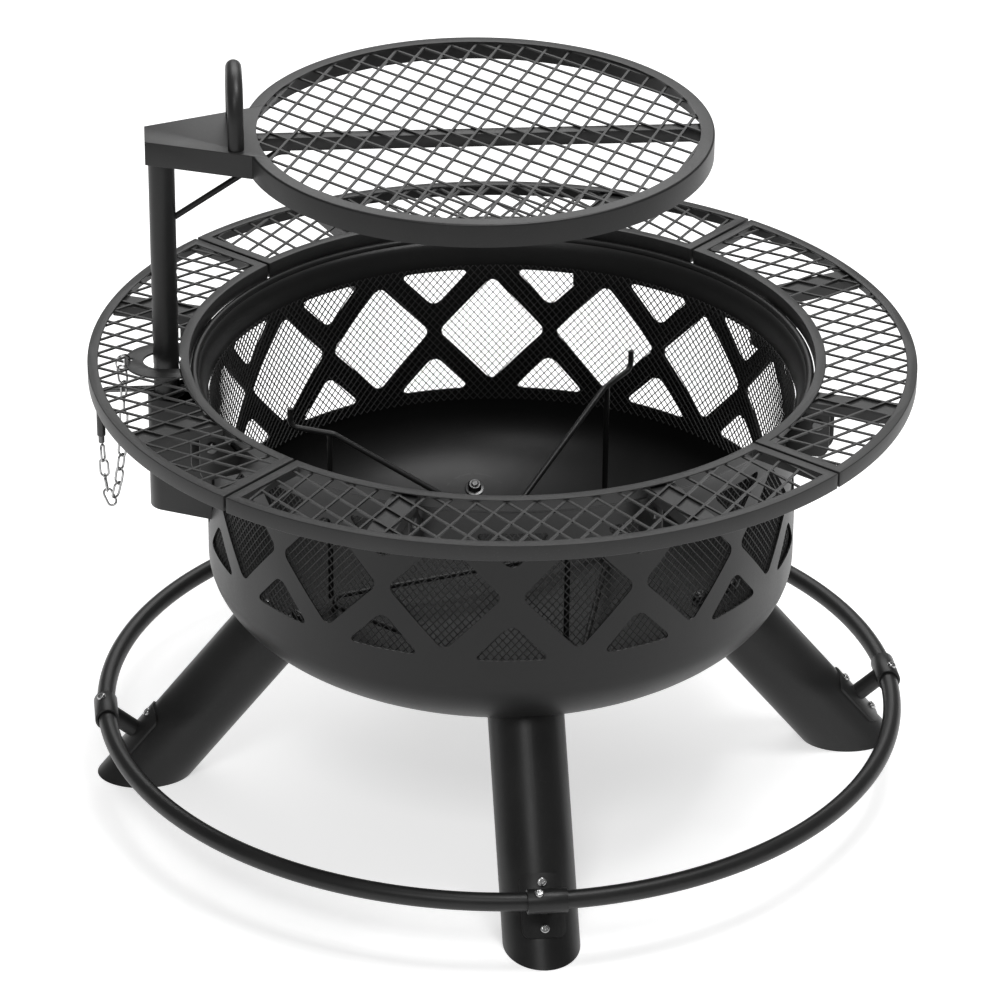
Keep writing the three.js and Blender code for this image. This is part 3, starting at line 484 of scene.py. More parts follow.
    @staticmethod
    def turn(
        piece: bpy.types.Object, degrees: float, centre: Vector = ORIGIN, axis: Vector = UP
    ) -> None:
        """Turns a piece by the right-hand rule and writes the turn into its mesh."""
        move = Matrix.Translation(centre)
        spun = move @ Matrix.Rotation(math.radians(degrees), 4, axis) @ move.inverted()
        Bench.take(piece)
        piece.matrix_world = spun @ piece.matrix_world
        bpy.ops.object.transform_apply(location=True, rotation=True, scale=True)

    @staticmethod
    def twin(piece: bpy.types.Object, name: str) -> bpy.types.Object:
        """Copies a piece with its own mesh."""
        Bench.leave()
        made = piece.copy()
        made.data = piece.data.copy()
        made.name = name
        made.data.name = name
        bpy.context.scene.collection.objects.link(made)
        return made

    @staticmethod
    def join(pieces: Sequence[bpy.types.Object]) -> bpy.types.Object:
        """Joins pieces into the first."""
        Bench.take(pieces[0])
        for piece in pieces[1:]:
            piece.select_set(True)
        bpy.ops.object.join()
        return pieces[0]


def corner_bend(
    here: Vector, corner: Vector, after: Vector, bend: float
) -> tuple[Vector, Vector, float, float]:
    """Works out one bend of a rod.

    Args:
        here: where the rod has got to.
        corner: the sharp corner that the bend rounds off.
        after: the next corner.
        bend: the bend's radius on the centre line.

    Returns:
        The bend's centre and axis, its angle in degrees, and how much of each leg it takes.
    """
    into = (corner - here).normalized()
    out = (after - corner).normalized()
    axis = into.cross(out).normalized()
    angle = into.angle(out)
    used = bend * math.tan(angle / 2)
    centre = corner - into * used + axis.cross(into) * bend
    return centre, axis, math.degrees(angle), used


def bent_rod(
    name: str, corners: Sequence[Vector], radius: float, bend: float = 0.0, facets: int = 16
) -> bpy.types.Object:
    """Bends a round rod through its corners, by straight pulls and spins.

    Args:
        name: the piece's name.
        corners: the ends of the rod and the corners between them.
        radius: the rod's radius.
        bend: the bends' radius on the centre line.
        facets: faces round the rod.

    Returns:
        The rod, closed, its place in its mesh.
    """
    rod = Bench.start(name)
    facing = (corners[1] - corners[0]).to_track_quat("Z", "Y").to_euler()
    bpy.ops.mesh.primitive_circle_add(
        vertices=facets, radius=radius, fill_type="NGON", location=corners[0], rotation=facing
    )
    here = corners[0]
    for corner, after in zip(corners[1:-1], corners[2:]):
        centre, axis, angle, used = corner_bend(here, corner, after, bend)
        stop = corner - (corner - here).normalized() * used
        Bench.pull(stop - here)
        Bench.spin(angle, max(3, round(angle / 9)), centre, axis)
        here = corner + (after - corner).normalized() * used
    Bench.pull(corners[-1] - here)
    Bench.weld()
    Bench.leave()
    return rod


def finish_piece(
    piece: bpy.types.Object,
    finish: Finish,
    body: Body,
    stands_for: Iterable[str] = (),
    smooth: float = 32,
) -> bpy.types.Object:
    """Smooths, paints and mounts a finished piece.

    Args:
        piece: the piece, with its place in its mesh.
        finish: its finish.
        body: the group that it moves with.
        stands_for: the frame's nodes that it takes the place of.
        smooth: edges sharper than this many degrees stay sharp.

    Returns:
        The piece.
    """
    Bench.take(piece)
    bpy.ops.object.transform_apply(location=True, rotation=True, scale=True)
    bpy.ops.object.shade_smooth_by_angle(angle=math.radians(smooth))
    piece.data.materials.clear()
    piece.data.materials.append(material_of(finish))
    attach(piece, body.value)
    if stands_for:
        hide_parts(*stands_for)
    LOG.info("%s: %d faces, on %s", piece.name, len(piece.data.polygons), body.value)
    return piece


def dress_node(node: str, finish: Finish) -> None:
    """Paints a node of the frame that keeps its own shape."""
    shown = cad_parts[node]
    shown.data.materials.clear()
    shown.data.materials.append(material_of(finish))


# ------------------------------------------------------------------------ fasteners


@dataclass
class Fasteners:
    """Screws, nuts and studs, placed by their seat and the way they face."""

    washer_thick: float = 0.0012
    thread_pitch: float = 0.00125
    thread_root: float = 0.84
    thread_tip: float = 0.7
    tip_height: float = 0.0008

    def settle(
        self, piece: bpy.types.Object, seat: Vector, facing: Vector, name: str
    ) -> bpy.types.Object:
        """Copies a fastener modelled at the origin along +Z onto its seat."""
        made = Bench.twin(piece, name)
        turn = facing.to_track_quat("Z", "Y").to_matrix().to_4x4()
        Bench.take(made)
        made.matrix_world = Matrix.Translation(seat) @ turn
        bpy.ops.object.transform_apply(location=True, rotation=True, scale=True)
        return made

    def pan_screw(self, radius: float = 0.0045, height: float = 0.0028) -> bpy.types.Object:
        """Models a pan-head screw with a cross recess."""
        screw = Bench.start("pan_screw")
        bpy.ops.mesh.primitive_cylinder_add(
            vertices=24, radius=radius, depth=height * 1.4, location=(0, 0, height * 0.3)
        )
        top = height * 0.9
        Bench.round_edges(screw, lambda e: all(v.co.z > top for v in e.verts), height * 0.6, 4)
        Bench.leave()
        for across in (Vector((1, 0, 0)), Vector((0, 1, 0))):
            slot = Bench.start("slot")
            bpy.ops.mesh.primitive_cube_add(size=1, location=(0, 0, height))
            size = Vector((radius * 0.24,) * 3) + across * radius * 0.86
            bpy.ops.transform.resize(value=size, center_override=(0, 0, height))
            bpy.ops.mesh.normals_make_consistent(inside=False)
            Bench.leave()
            Bench.work(screw, slot)
        return screw

    def hex_head(self, across: float, height: float, washer: float = 0.0) -> bpy.types.Object:
        """Models a hexagon head, or a nut, with a washer under it if one is asked for."""
        head = Bench.start("hex_head")
        lift = self.washer_thick if washer else 0.0
        bpy.ops.mesh.primitive_cylinder_add(
            vertices=6, radius=across / math.sqrt(3), depth=height,
            location=(0, 0, lift + height / 2),
        )
        Bench.leave()
        chamfer = Bench.start("chamfer")
        bpy.ops.mesh.primitive_cone_add(
            vertices=36, radius1=across * 1.3, radius2=across * 0.42, depth=height * 2.6,
            location=(0, 0, lift + height - height * 1.3 + 0.0004),
        )
        Bench.leave()
        Bench.work(head, chamfer, Cut.KEEP_INSIDE)
        if washer:
            plate = Bench.start("washer")
            bpy.ops.mesh.primitive_cylinder_add(
                vertices=32, radius=washer, depth=lift, location=(0, 0, lift / 2)
            )
            upper = lift * 0.9
            Bench.round_edges(plate, lambda e: all(v.co.z > upper for v in e.verts), 0.0004, 2)
            Bench.leave()
            Bench.join([head, plate])
        return head

    def stud(self, radius: float, long: float) -> bpy.types.Object:
        """Models the free end of a threaded stud, as a stack of ridges."""
        stud = Bench.start("stud")
        pitch = self.thread_pitch
        rings = int(long / pitch)
        top = rings * pitch + self.tip_height
        points = [Vector((0, 0, 0)), Vector((radius, 0, 0))]
        for ring in range(rings):
            points.append(Vector((radius * self.thread_root, 0, (ring + 0.5) * pitch)))
            points.append(Vector((radius, 0, (ring + 1) * pitch)))
        points.append(Vector((radius * self.thread_tip, 0, top)))
        points.append(Vector((0, 0, top)))
        Bench.draw(points)
        bpy.ops.mesh.select_all(action="SELECT")
        Bench.spin(360, 20)
        Bench.weld(SEAM_FREE)
        Bench.leave()
        return stud


FASTENERS = Fasteners()


# ------------------------------------------------------------------------ bowl


@dataclass
class FireBowl:
    """The dished bowl with its lattice wall, rolled rim and spark screen."""

    radius: float = 0.2906
    sheet: float = 0.0015
    shoulder: float = 0.245
    dish: float = 0.112
    throat: float = 0.414
    rim: float = 0.4405
    rim_radius: float = 0.3018
    bead: float = 0.0040
    mid: float = 0.3406
    first: float = 8.93
    pitch: float = 23.9
    cutouts: int = 15
    closing: float = 356.23
    half_width: float = 0.0560
    half_height: float = 0.0605
    base_offset: float = 0.0684
    apex_offset: float = 0.0276
    half_base: float = 0.0380
    facets: int = 270
    tool_depth: float = 0.040
    diamond_corner: float = 0.0085
    triangle_corner: float = 0.0105
    screen_setback: float = 0.0024
    screen_low: float = 0.2600
    screen_high: float = 0.4150
    strand_count: int = 232
    strand_steps: int = 6
    strand_radius: float = 0.000741
    cell_height: float = 0.0092

    def profile(self) -> list[Vector]:
        """Gives the outside of the sheet from the bottom to the rim."""
        points = []
        for step in range(31):
            angle = math.radians(3 * step)
            drop = self.dish * math.cos(angle)
            points.append(Vector((self.radius * math.sin(angle), 0, self.shoulder - drop)))
        points.append(Vector((self.radius, 0, (self.shoulder + self.throat) / 2)))
        points.append(Vector((self.radius, 0, self.throat)))
        flare = self.rim_radius - self.radius - self.bead * 0.4
        for step in range(1, 7):
            angle = math.radians(15 * step)
            out = flare * (1 - math.cos(angle))
            height = (self.rim - self.throat) * math.sin(angle)
            points.append(Vector((self.radius + out, 0, self.throat + height)))
        return points

    def shell(self) -> bpy.types.Object:
        """Spins the sheet and gives it its thickness."""
        shell = Bench.start("bowl_shell")
        Bench.draw(self.profile())
        bpy.ops.mesh.select_all(action="SELECT")
        Bench.spin(360, self.facets)
        Bench.weld(SEAM_FREE)
        Bench.leave()
        Bench.thicken(shell, self.sheet)
        return shell

    def opening(
        self, name: str, corners: Sequence[tuple[float, float]], corner: float
    ) -> bpy.types.Object:
        """Makes a tool that cuts one opening in the wall at the front."""
        near = -(self.radius + self.tool_depth / 2)
        outline = [Vector((x, near, z)) for x, z in corners]
        tool = Bench.prism(name, outline, Vector((0, self.tool_depth, 0)))
        long = self.tool_depth / 4
        Bench.round_edges(
            tool, lambda e: abs(e.verts[0].co.y - e.verts[1].co.y) > long, corner, 6
        )
        Bench.leave()
        return tool

    def repeat(self, tool: bpy.types.Object, azimuth: float, count: int) -> None:
        """Turns a tool to its azimuth and repeats it round the wall."""
        Bench.turn(tool, azimuth)
        Bench.take(tool, edit=True)
        bpy.ops.mesh.select_all(action="SELECT")
        Bench.spin(self.pitch * (count - 1), count - 1, copies=True)
        Bench.leave()

    def triangle(self, name: str, way: int) -> bpy.types.Object:
        """Makes a tool for a triangle above (way 1) or below (way -1) the lattice's mid line."""
        base = self.mid + way * self.base_offset
        apex = self.mid + way * self.apex_offset
        corners = [(self.half_base, base), (-self.half_base, base), (0, apex)]
        return self.opening(name, corners, self.triangle_corner)

    def lattice(self) -> list[bpy.types.Object]:
        """Gives the tools that cut the whole lattice."""
        low, high = self.mid - self.half_height, self.mid + self.half_height
        corners = [(self.half_width, self.mid), (0, high), (-self.half_width, self.mid), (0, low)]
        diamonds = self.opening("diamonds", corners, self.diamond_corner)
        self.repeat(diamonds, self.first, self.cutouts)
        tools = [diamonds]
        for way in (1, -1):
            row = self.triangle("triangles", way)
            single = Bench.twin(row, "closing_triangle")
            self.repeat(row, self.first + self.pitch / 2, self.cutouts - 1)
            Bench.turn(single, self.closing)
            tools += [row, single]
        return tools

    def strands(self, lean: int) -> bpy.types.Object:
        """Makes one family of the screen's strands, leaning left (-1) or right (1)."""
        radius, low, high = self.radius - self.screen_setback, self.screen_low, self.screen_high
        count, steps = self.strand_count, self.strand_steps
        turn = lean * (high - low) / self.cell_height * 360 / count / steps
        strand = Bench.start("screen_strands")
        bpy.ops.mesh.primitive_circle_add(
            vertices=4, radius=self.strand_radius, fill_type="NGON", location=(0, -radius, low)
        )
        for step in range(steps):
            here = polar(radius, step * turn, low + (high - low) * step / steps)
            after = polar(radius, (step + 1) * turn, low + (high - low) * (step + 1) / steps)
            Bench.pull(after - here)
        bpy.ops.mesh.select_all(action="SELECT")
        bpy.ops.mesh.normals_make_consistent(inside=False)
        Bench.spin(360 * (count - 1) / count, count - 1, copies=True)
        Bench.leave()
        return strand

    def build(self) -> None:
        """Builds the bowl, its bead and its screen."""
        shell = self.shell()
        for tool in self.lattice():
            Bench.work(shell, tool)
        finish_piece(shell, BOWL_PAINT, Body.PIT, ["fire_bowl"])
        bead = Bench.start("rolled_rim")
        bpy.ops.mesh.primitive_torus_add(
            major_radius=self.rim_radius + 0.0005, minor_radius=self.bead, major_segments=216,
            minor_segments=16, location=(0, 0, self.rim + 0.0003),
        )
        Bench.leave()
        finish_piece(bead, BOWL_PAINT, Body.PIT)
        screen = Bench.join([self.strands(1), self.strands(-1)])
        finish_piece(screen, SCREEN_PAINT, Body.PIT, ["spark_screen"], smooth=10)


# ------------------------------------------------------------------------ legs


@dataclass
class SplayedLegs:
    """Four tube legs cut flat on the floor, with the bolts that hold them to the bowl."""

    bowl: FireBowl
    radius: float = 0.0373
    wall: float = 0.0016
    foot: float = 0.3618
    splay: float = 39.4
    clock: float = 0.8
    bolts: tuple[float, float] = (0.237, 0.205)
    below: float = 0.06
    long: float = 0.40

    def tube(self) -> bpy.types.Object:
        """Makes the front leg."""
        lean = math.radians(self.splay)
        axis = Vector((0, math.sin(lean), math.cos(lean)))
        low = Vector((0, -self.foot, 0)) - axis * self.below
        leg = Bench.start("leg_tube")
        facing = axis.to_track_quat("Z", "Y").to_euler()
        bpy.ops.mesh.primitive_circle_add(
            vertices=96, radius=self.radius, location=low, rotation=facing
        )
        Bench.pull(axis * self.long)
        Bench.weld()
        Bench.leave()
        Bench.thicken(leg, self.wall)
        floor = Bench.start("floor_tool")
        bpy.ops.mesh.primitive_cube_add(size=1, location=(0, -self.foot, -0.5))
        Bench.leave()
        Bench.work(leg, floor)
        dome = Bench.start("dome_tool")
        middle = (0, 0, self.bowl.shoulder)
        bpy.ops.mesh.primitive_uv_sphere_add(
            segments=128, ring_count=96, radius=self.bowl.radius, location=middle
        )
        squeeze = (1, 1, self.bowl.dish / self.bowl.radius)
        bpy.ops.transform.resize(value=squeeze, center_override=middle)
        Bench.leave()
        Bench.work(leg, dome)
        Bench.turn(leg, self.clock)
        return leg

    def seat(self, radius: float) -> tuple[Vector, Vector]:
        """Gives the place and facing of a nut on the dish's inside, on the front leg's line."""
        share = math.sqrt(1 - (radius / self.bowl.radius) ** 2)
        inner = self.bowl.dish - self.bowl.sheet
        place = polar(radius, self.clock, self.bowl.shoulder - inner * share)
        slope = Vector((radius / self.bowl.radius**2, -share / self.bowl.dish))
        inward = polar(-slope.x, self.clock, -slope.y)
        return place, inward.normalized()

    def build(self) -> None:
        """Builds the legs and their bolts."""
        leg = self.tube()
        nut = FASTENERS.hex_head(0.013, 0.0066, washer=0.0100)
        stud = FASTENERS.stud(0.0040, 0.0090)
        bolt = Bench.join([nut, stud])
        for index, side in enumerate(SIDES):
            tube = Bench.twin(leg, f"leg_tube_{side}")
            Bench.turn(tube, QUARTER * index)
            finish_piece(tube, FRAME_PAINT, Body.PIT, [f"leg_{side}"])
            for order, radius in enumerate(self.bolts):
                place, inward = self.seat(radius)
                made = FASTENERS.settle(bolt, place, inward, f"leg_nut_{side}_{order + 1}")
                Bench.turn(made, QUARTER * index)
                stands_for = [f"leg_bolt_{side}"] if order == 0 else []
                finish_piece(made, DARK_ZINC, Body.PIT, stands_for)
        for spare in (leg, bolt):
            bpy.data.objects.remove(spare, do_unlink=True)


# ------------------------------------------------------------------------ foot ring


@dataclass
class FootRing:
    """The tube ring round the legs, with its collars and saddle plates."""

    legs: SplayedLegs
    radius: float = 0.3993
    height: float = 0.0715
    tube: float = 0.0091
    collar: float = 0.0119
    collar_half: float = 0.0192
    end_gap: float = 0.0012
    stub: float = 0.0090
    saddle_half_long: float = 0.031
    saddle_half_wide: float = 0.021
    saddle_corner: float = 0.008
    saddle_inside: float = 0.0002
    saddle_outside: float = 0.0022
    screw_offset: float = 0.0225
    collar_screw: float = -0.008
    collar_slope: tuple[float, float, float] = (0, -0.35, 0.94)

    def segment(self) -> bpy.types.Object:
        """Makes the quarter from the front leg to the right one."""
        piece = Bench.start("ring_quarter")
        gap = math.degrees(self.end_gap / self.radius)
        bpy.ops.mesh.primitive_circle_add(
            vertices=28, radius=self.tube, fill_type="NGON",
            location=polar(self.radius, 0, self.height), rotation=(0, math.pi / 2, 0),
        )
        Bench.spin(QUARTER - 2 * gap, 72)
        Bench.weld()
        Bench.leave()
        Bench.turn(piece, self.legs.clock + gap)
        return piece

    def leg_axis(self) -> Vector:
        """Gives the front leg's direction, upwards."""
        lean = math.radians(self.legs.splay)
        return Vector((0, math.sin(lean), math.cos(lean)))

    def bracket(self) -> bpy.types.Object:
        """Makes the front leg's collar, stub and saddle plate."""
        lean = self.leg_axis()
        out = Vector((0, -lean.z, lean.y))
        ring = Vector((0, -self.radius, self.height))
        foot = Vector((0, -self.legs.foot, 0))
        along = (ring - foot).dot(lean)
        middle = foot + lean * along
        saddle = Bench.start("saddle")
        facing = lean.to_track_quat("Z", "Y").to_euler()
        half, wide = self.saddle_half_long, self.saddle_half_wide
        bpy.ops.mesh.primitive_cylinder_add(
            vertices=96, radius=self.legs.radius + self.saddle_outside, depth=half * 2,
            location=middle, rotation=facing,
        )
        Bench.leave()
        core = Bench.start("core")
        bpy.ops.mesh.primitive_cylinder_add(
            vertices=96, radius=self.legs.radius + self.saddle_inside, depth=0.2,
            location=middle, rotation=facing,
        )
        Bench.leave()
        Bench.work(saddle, core, keep=True)
        side = Vector((1, 0, 0))
        reach = out * 0.08
        corners = [side * wide + lean * half, side * -wide + lean * half,
                   side * -wide - lean * half, side * wide - lean * half]
        start = middle + out * PAST
        stencil = Bench.prism("stencil", [start + corner for corner in corners], reach)
        Bench.round_edges(
            stencil,
            lambda e: abs((e.verts[0].co - e.verts[1].co).dot(out)) > 0.05,
            self.saddle_corner,
            5,
        )
        Bench.leave()
        Bench.work(saddle, stencil, Cut.KEEP_INSIDE)
        stub = Bench.start("stub")
        bpy.ops.mesh.primitive_cylinder_add(
            vertices=40, radius=self.stub, depth=(ring - middle).length,
            location=(ring + middle) / 2, rotation=out.to_track_quat("Z", "Y").to_euler(),
        )
        Bench.leave()
        Bench.work(stub, core)
        collar = Bench.start("collar")
        bpy.ops.mesh.primitive_cylinder_add(
            vertices=48, radius=self.collar, depth=self.collar_half * 2,
            location=ring, rotation=(0, math.pi / 2, 0),
        )
        Bench.leave()
        hole = Bench.start("bore")
        bpy.ops.mesh.primitive_cylinder_add(
            vertices=48, radius=self.tube + 0.0002, depth=0.1, location=ring,
            rotation=(0, math.pi / 2, 0),
        )
        Bench.leave()
        Bench.work(stub, hole, keep=True)
        Bench.work(collar, hole)
        Bench.soften(saddle, 0.0006)
        Bench.soften(collar, 0.0007)
        return Bench.join([collar, stub, saddle])

    def screws(self, side: str, index: int, screw: bpy.types.Object) -> None:
        """Puts the two saddle screws and the collar's screw on one leg."""
        lean = self.leg_axis()
        out = Vector((0, -lean.z, lean.y))
        foot = Vector((0, -self.legs.foot, 0))
        along = (Vector((0, -self.radius, self.height)) - foot).dot(lean)
        slope = Vector(self.collar_slope).normalized()
        ring = Vector((self.collar_screw, -self.radius, self.height))
        face = foot + lean * along + out * (self.legs.radius + self.saddle_outside)
        spots = [
            (face + lean * self.screw_offset, out),
            (face - lean * self.screw_offset, out),
            (ring + slope * self.collar, slope),
        ]
        for order, (seat, facing) in enumerate(spots):
            made = FASTENERS.settle(screw, seat, facing, f"ring_screw_{side}_{order + 1}")
            Bench.turn(made, self.legs.clock + QUARTER * index)
            finish_piece(made, ZINC, Body.PIT)

    def build(self) -> None:
        """Builds the ring and its brackets."""
        quarter = self.segment()
        bracket = self.bracket()
        Bench.turn(bracket, self.legs.clock)
        screw = FASTENERS.pan_screw()
        for index, side in enumerate(SIDES):
            after = SIDES[(index + 1) % 4]
            tube = Bench.twin(quarter, f"ring_tube_{side}_{after}")
            Bench.turn(tube, QUARTER * index)
            finish_piece(tube, FRAME_PAINT, Body.PIT, [f"foot_ring_{side}_{after}"])
            made = Bench.twin(bracket, f"ring_collar_{side}")
            Bench.turn(made, QUARTER * index)
            finish_piece(made, FRAME_PAINT, Body.PIT, [f"ring_bracket_{side}"])
            self.screws(side, index, screw)
        for spare in (quarter, bracket, screw):
            bpy.data.objects.remove(spare, do_unlink=True)


# ------------------------------------------------------------------------ table


@dataclass
class TableTop:
    """The table: four framed quadrants of expanded metal on bars and brackets."""

    top: float = 0.4576
    outer: float = 0.4064
    inner: float = 0.3068
    depth: float = 0.0160
    sheet: float = 0.0018
    strip: float = 0.0104
    seam: float = 0.0015
    diamond_long: float = 0.0420
    diamond_short: float = 0.0280
    strand: float = 0.0024
    strand_thick: float = 0.0017
    bar_angle: float = 22.5
    cells: int = 64
    guard_radius: float = 0.0380
    guard_slot: float = 0.0195
    guard_shift: float = 0.0031
    notch: float = 0.0145
    wing_half: float = 0.0108
    wing_wall: float = 0.2912
    wing_step: float = 0.3062
    wing_inner: float = 0.3092
    wing_tip: float = 0.3330
    wing_low: float = 0.3950
    wing_round: float = 0.0120
    wing_bolt: float = 0.3215
    wing_bolt_height: float = 0.4300
    post: float = POST_X

    def sector(self, name: str, inset: float, end: float, height: float) -> bpy.types.Object:
        """Makes the flat face of one quadrant at the front.

        Args:
            name: the piece's name.
            inset: how far the two arcs are moved in.
            end: how far the two ends are from the seam's middle.
            height: the face's height.

        Returns:
            The face, open for editing.
        """
        piece = Bench.start(name)
        for radius in (self.outer - inset, self.inner + inset):
            bpy.ops.mesh.primitive_circle_add(vertices=360, radius=radius, location=(0, 0, height))
        bpy.ops.mesh.select_all(action="SELECT")
        bpy.ops.mesh.bridge_edge_loops()
        for way in (1, -1):
            normal = Vector((way, 1, 0)).normalized()
            bpy.ops.mesh.select_all(action="SELECT")
            bpy.ops.mesh.bisect(plane_co=normal * -end, plane_no=normal, clear_outer=True)
        bpy.ops.mesh.select_all(action="SELECT")
        bpy.ops.mesh.dissolve_faces()
        mesh = bmesh.from_edit_mesh(piece.data)
        if next(iter(mesh.faces)).normal.z < 0:
            bpy.ops.mesh.flip_normals()
        return piece

    def block(
        self, name: str, inset: float, end: float, low: float, high: float
    ) -> bpy.types.Object:
        """Makes a solid over one quadrant.

        Args:
            name: the piece's name.
            inset: how far the two arcs are moved in.
            end: how far the two ends are from the seam's middle.
            low: its underside.
            high: its top.

        Returns:
            The solid.
        """
        piece = self.sector(name, inset, end, low)
        bpy.ops.mesh.select_all(action="SELECT")
        Bench.pull(Vector((0, 0, high - low)))
        Bench.weld()
        Bench.leave()
        return piece

    def frame_sheet(self) -> bpy.types.Object:
        """Makes one quadrant's folded frame: a flat strip all round and a folded edge."""
        foot, over = self.top - self.depth, self.top + PAST
        piece = self.block("quadrant_frame", 0, self.seam, foot, self.top)
        inside = self.seam + self.sheet
        hollow = self.block("hollow", self.sheet, inside, foot - PAST, self.top - self.sheet)
        Bench.work(piece, hollow)
        window = self.block("window", self.strip, self.seam + self.strip, foot - PAST, over)
        Bench.work(piece, window)
        Bench.soften(piece, 0.0008, 3)
        return piece

    def lattice(self, name: str) -> bpy.types.Object:
        """Makes a wide sheet of expanded metal, its diamonds' long way along Y."""
        sheet = Bench.start(name)
        cell = 0.02
        bpy.ops.mesh.primitive_grid_add(
            x_subdivisions=self.cells, y_subdivisions=self.cells, size=self.cells * cell
        )
        bpy.ops.transform.rotate(value=math.pi / 4, orient_axis="Z", center_override=(0, 0, 0))
        diagonal = cell * math.sqrt(2)
        scale = (self.diamond_short / diagonal, self.diamond_long / diagonal, 1)
        bpy.ops.transform.resize(value=scale, center_override=(0, 0, 0))
        bpy.ops.mesh.select_all(action="SELECT")
        bpy.ops.mesh.inset(thickness=self.strand / 2, use_individual=True)
        bpy.ops.mesh.delete(type="FACE")
        Bench.leave()
        Bench.thicken(sheet, self.strand_thick)
        return sheet

    def grille_sheet(self) -> bpy.types.Object:
        """Makes one quadrant's expanded metal, cut to lie under the frame's strips."""
        sheet = self.lattice("quadrant_grille")
        middle = -(self.outer + self.inner) / 2
        height = self.top - self.sheet - 0.0001
        Bench.take(sheet)
        sheet.location = (0, middle, height)
        bpy.ops.object.transform_apply(location=True, rotation=True, scale=True)
        tool = self.block("trim", 0.0022, self.seam + 0.0022, height - 0.01, height + 0.01)
        Bench.work(sheet, tool, Cut.KEEP_INSIDE)
        return sheet

    def horseshoe(self, grow: float, low: float, high: float, solid: bool) -> bpy.types.Object:
        """Makes the guard plate round the post.

        Args:
            grow: how much larger its outline is made.
            low: its underside.
            high: its top.
            solid: leaves the slot out.

        Returns:
            The plate.
        """
        centre = self.post - self.guard_shift

        def lobe(
            name: str, radius: float, reach: float, bottom: float, top: float
        ) -> bpy.types.Object:
            """Makes a rounded tongue that runs from the post to the inner strip."""
            points = []
            for step in range(41):
                angle = math.radians(270 - 180 * step / 40)
                spot = (centre + radius * math.cos(angle), radius * math.sin(angle))
                points.append(Vector((*spot, bottom)))
            points += [Vector((reach, radius, bottom)), Vector((reach, -radius, bottom))]
            tongue = Bench.prism(name, points, Vector((0, 0, top - bottom)))
            Bench.leave()
            return tongue

        reach = -(self.inner + self.sheet + 0.0005)
        plate = lobe("guard_plate", self.guard_radius + grow, reach, low, high)
        if not solid:
            slot = lobe("slot", self.guard_slot, reach + PAST, low - PAST, high + PAST)
            Bench.work(plate, slot)
            hole = Bench.start("ring_hole")
            bpy.ops.mesh.primitive_cylinder_add(
                vertices=20, radius=0.0028, depth=0.02, location=(centre - 0.0315, 0.004, low)
            )
            Bench.leave()
            Bench.work(plate, hole)
        return plate

    def bracket(self) -> bpy.types.Object:
        """Makes a folded bracket that stands on the bowl's wall under a bar."""
        wall, tip, low = self.wing_wall, self.wing_tip, self.wing_low
        top, shoulder = self.top - 0.0062, self.top - self.depth - 0.0003
        half, bend = self.wing_half, self.wing_round
        outline = [(wall, low), (tip - bend, low)]
        for step in range(1, 9):
            angle = math.radians(-90 + 90 * step / 8)
            spot = (tip - bend + bend * math.cos(angle), low + bend + bend * math.sin(angle))
            outline.append(spot)
        inner, step = self.wing_inner, self.wing_step
        outline += [(tip, top), (inner, top), (inner, shoulder), (step, shoulder)]
        outline += [(step, 0.4335), (wall, 0.4150)]
        points = [Vector((-half, -r, z)) for r, z in outline]
        piece = Bench.prism("wing_bracket", points, Vector((2 * half, 0, 0)))
        Bench.leave()
        slot = Bench.start("slot")
        middle = (0, -0.3436, self.wing_bolt_height)
        bpy.ops.mesh.primitive_cube_add(size=1, location=middle)
        size = (2 * (half - self.sheet), 0.1, 0.1)
        bpy.ops.transform.resize(value=size, center_override=middle)
        Bench.leave()
        Bench.work(piece, slot)
        Bench.soften(piece, 0.0005)
        return piece

    def build(self) -> None:
        """Builds the four quadrants and what holds them."""
        frame_sheet, grille, bracket = self.frame_sheet(), self.grille_sheet(), self.bracket()
        bolt = FASTENERS.hex_head(0.010, 0.0040)
        low = self.top - self.sheet - 0.0023
        plate = self.horseshoe(0.0, low, self.top - self.sheet - 0.0001, solid=False)
        for index, side in enumerate(SIDES):
            sheet = Bench.twin(grille, f"expanded_metal_{side}")
            Bench.turn(sheet, QUARTER * index)
            edge = Bench.twin(frame_sheet, f"quadrant_{side}")
            Bench.turn(edge, QUARTER * index)
            if side == "left":
                room = self.horseshoe(0.0004, low - 0.02, self.top + 0.02, solid=True)
                Bench.turn(room, POST_CLOCK)
                Bench.work(sheet, room)
                notch = Bench.start("notch")
                bpy.ops.mesh.primitive_cylinder_add(
                    vertices=48, radius=self.notch, depth=0.06, location=(self.post, 0, self.top)
                )
                Bench.leave()
                Bench.turn(notch, POST_CLOCK)
                Bench.work(edge, notch)
            finish_piece(sheet, TABLE_PAINT, Body.PIT, [f"table_grille_{side}"], smooth=20)
            finish_piece(edge, TABLE_PAINT, Body.PIT, [f"table_frame_{side}"])
            for way, hand in ((-1, "a"), (1, "b")):
                azimuth = QUARTER * index + way * self.bar_angle
                dress_node(f"table_bar_{side}_{hand}", TABLE_PAINT)
                wing = Bench.twin(bracket, f"wing_bracket_{side}_{hand}")
                Bench.turn(wing, azimuth)
                finish_piece(wing, FRAME_PAINT, Body.PIT, [f"table_bracket_{side}_{hand}"])
                for order, across in enumerate((1, -1)):
                    name = f"wing_bolt_{side}_{hand}_{order + 1}"
                    seat = Vector((across * self.wing_half, -self.wing_bolt, self.wing_bolt_height))
                    made = FASTENERS.settle(bolt, seat, Vector((across, 0, 0)), name)
                    Bench.turn(made, azimuth)
                    finish_piece(made, DARK_ZINC, Body.PIT)
        Bench.turn(plate, POST_CLOCK)
        Bench.soften(plate, 0.0004)
        finish_piece(plate, TABLE_PAINT, Body.PIT, ["horseshoe_plate"])
        for spare in (frame_sheet, grille, bracket, bolt):
            bpy.data.objects.remove(spare, do_unlink=True)


# ------------------------------------------------------------------------ post and socket


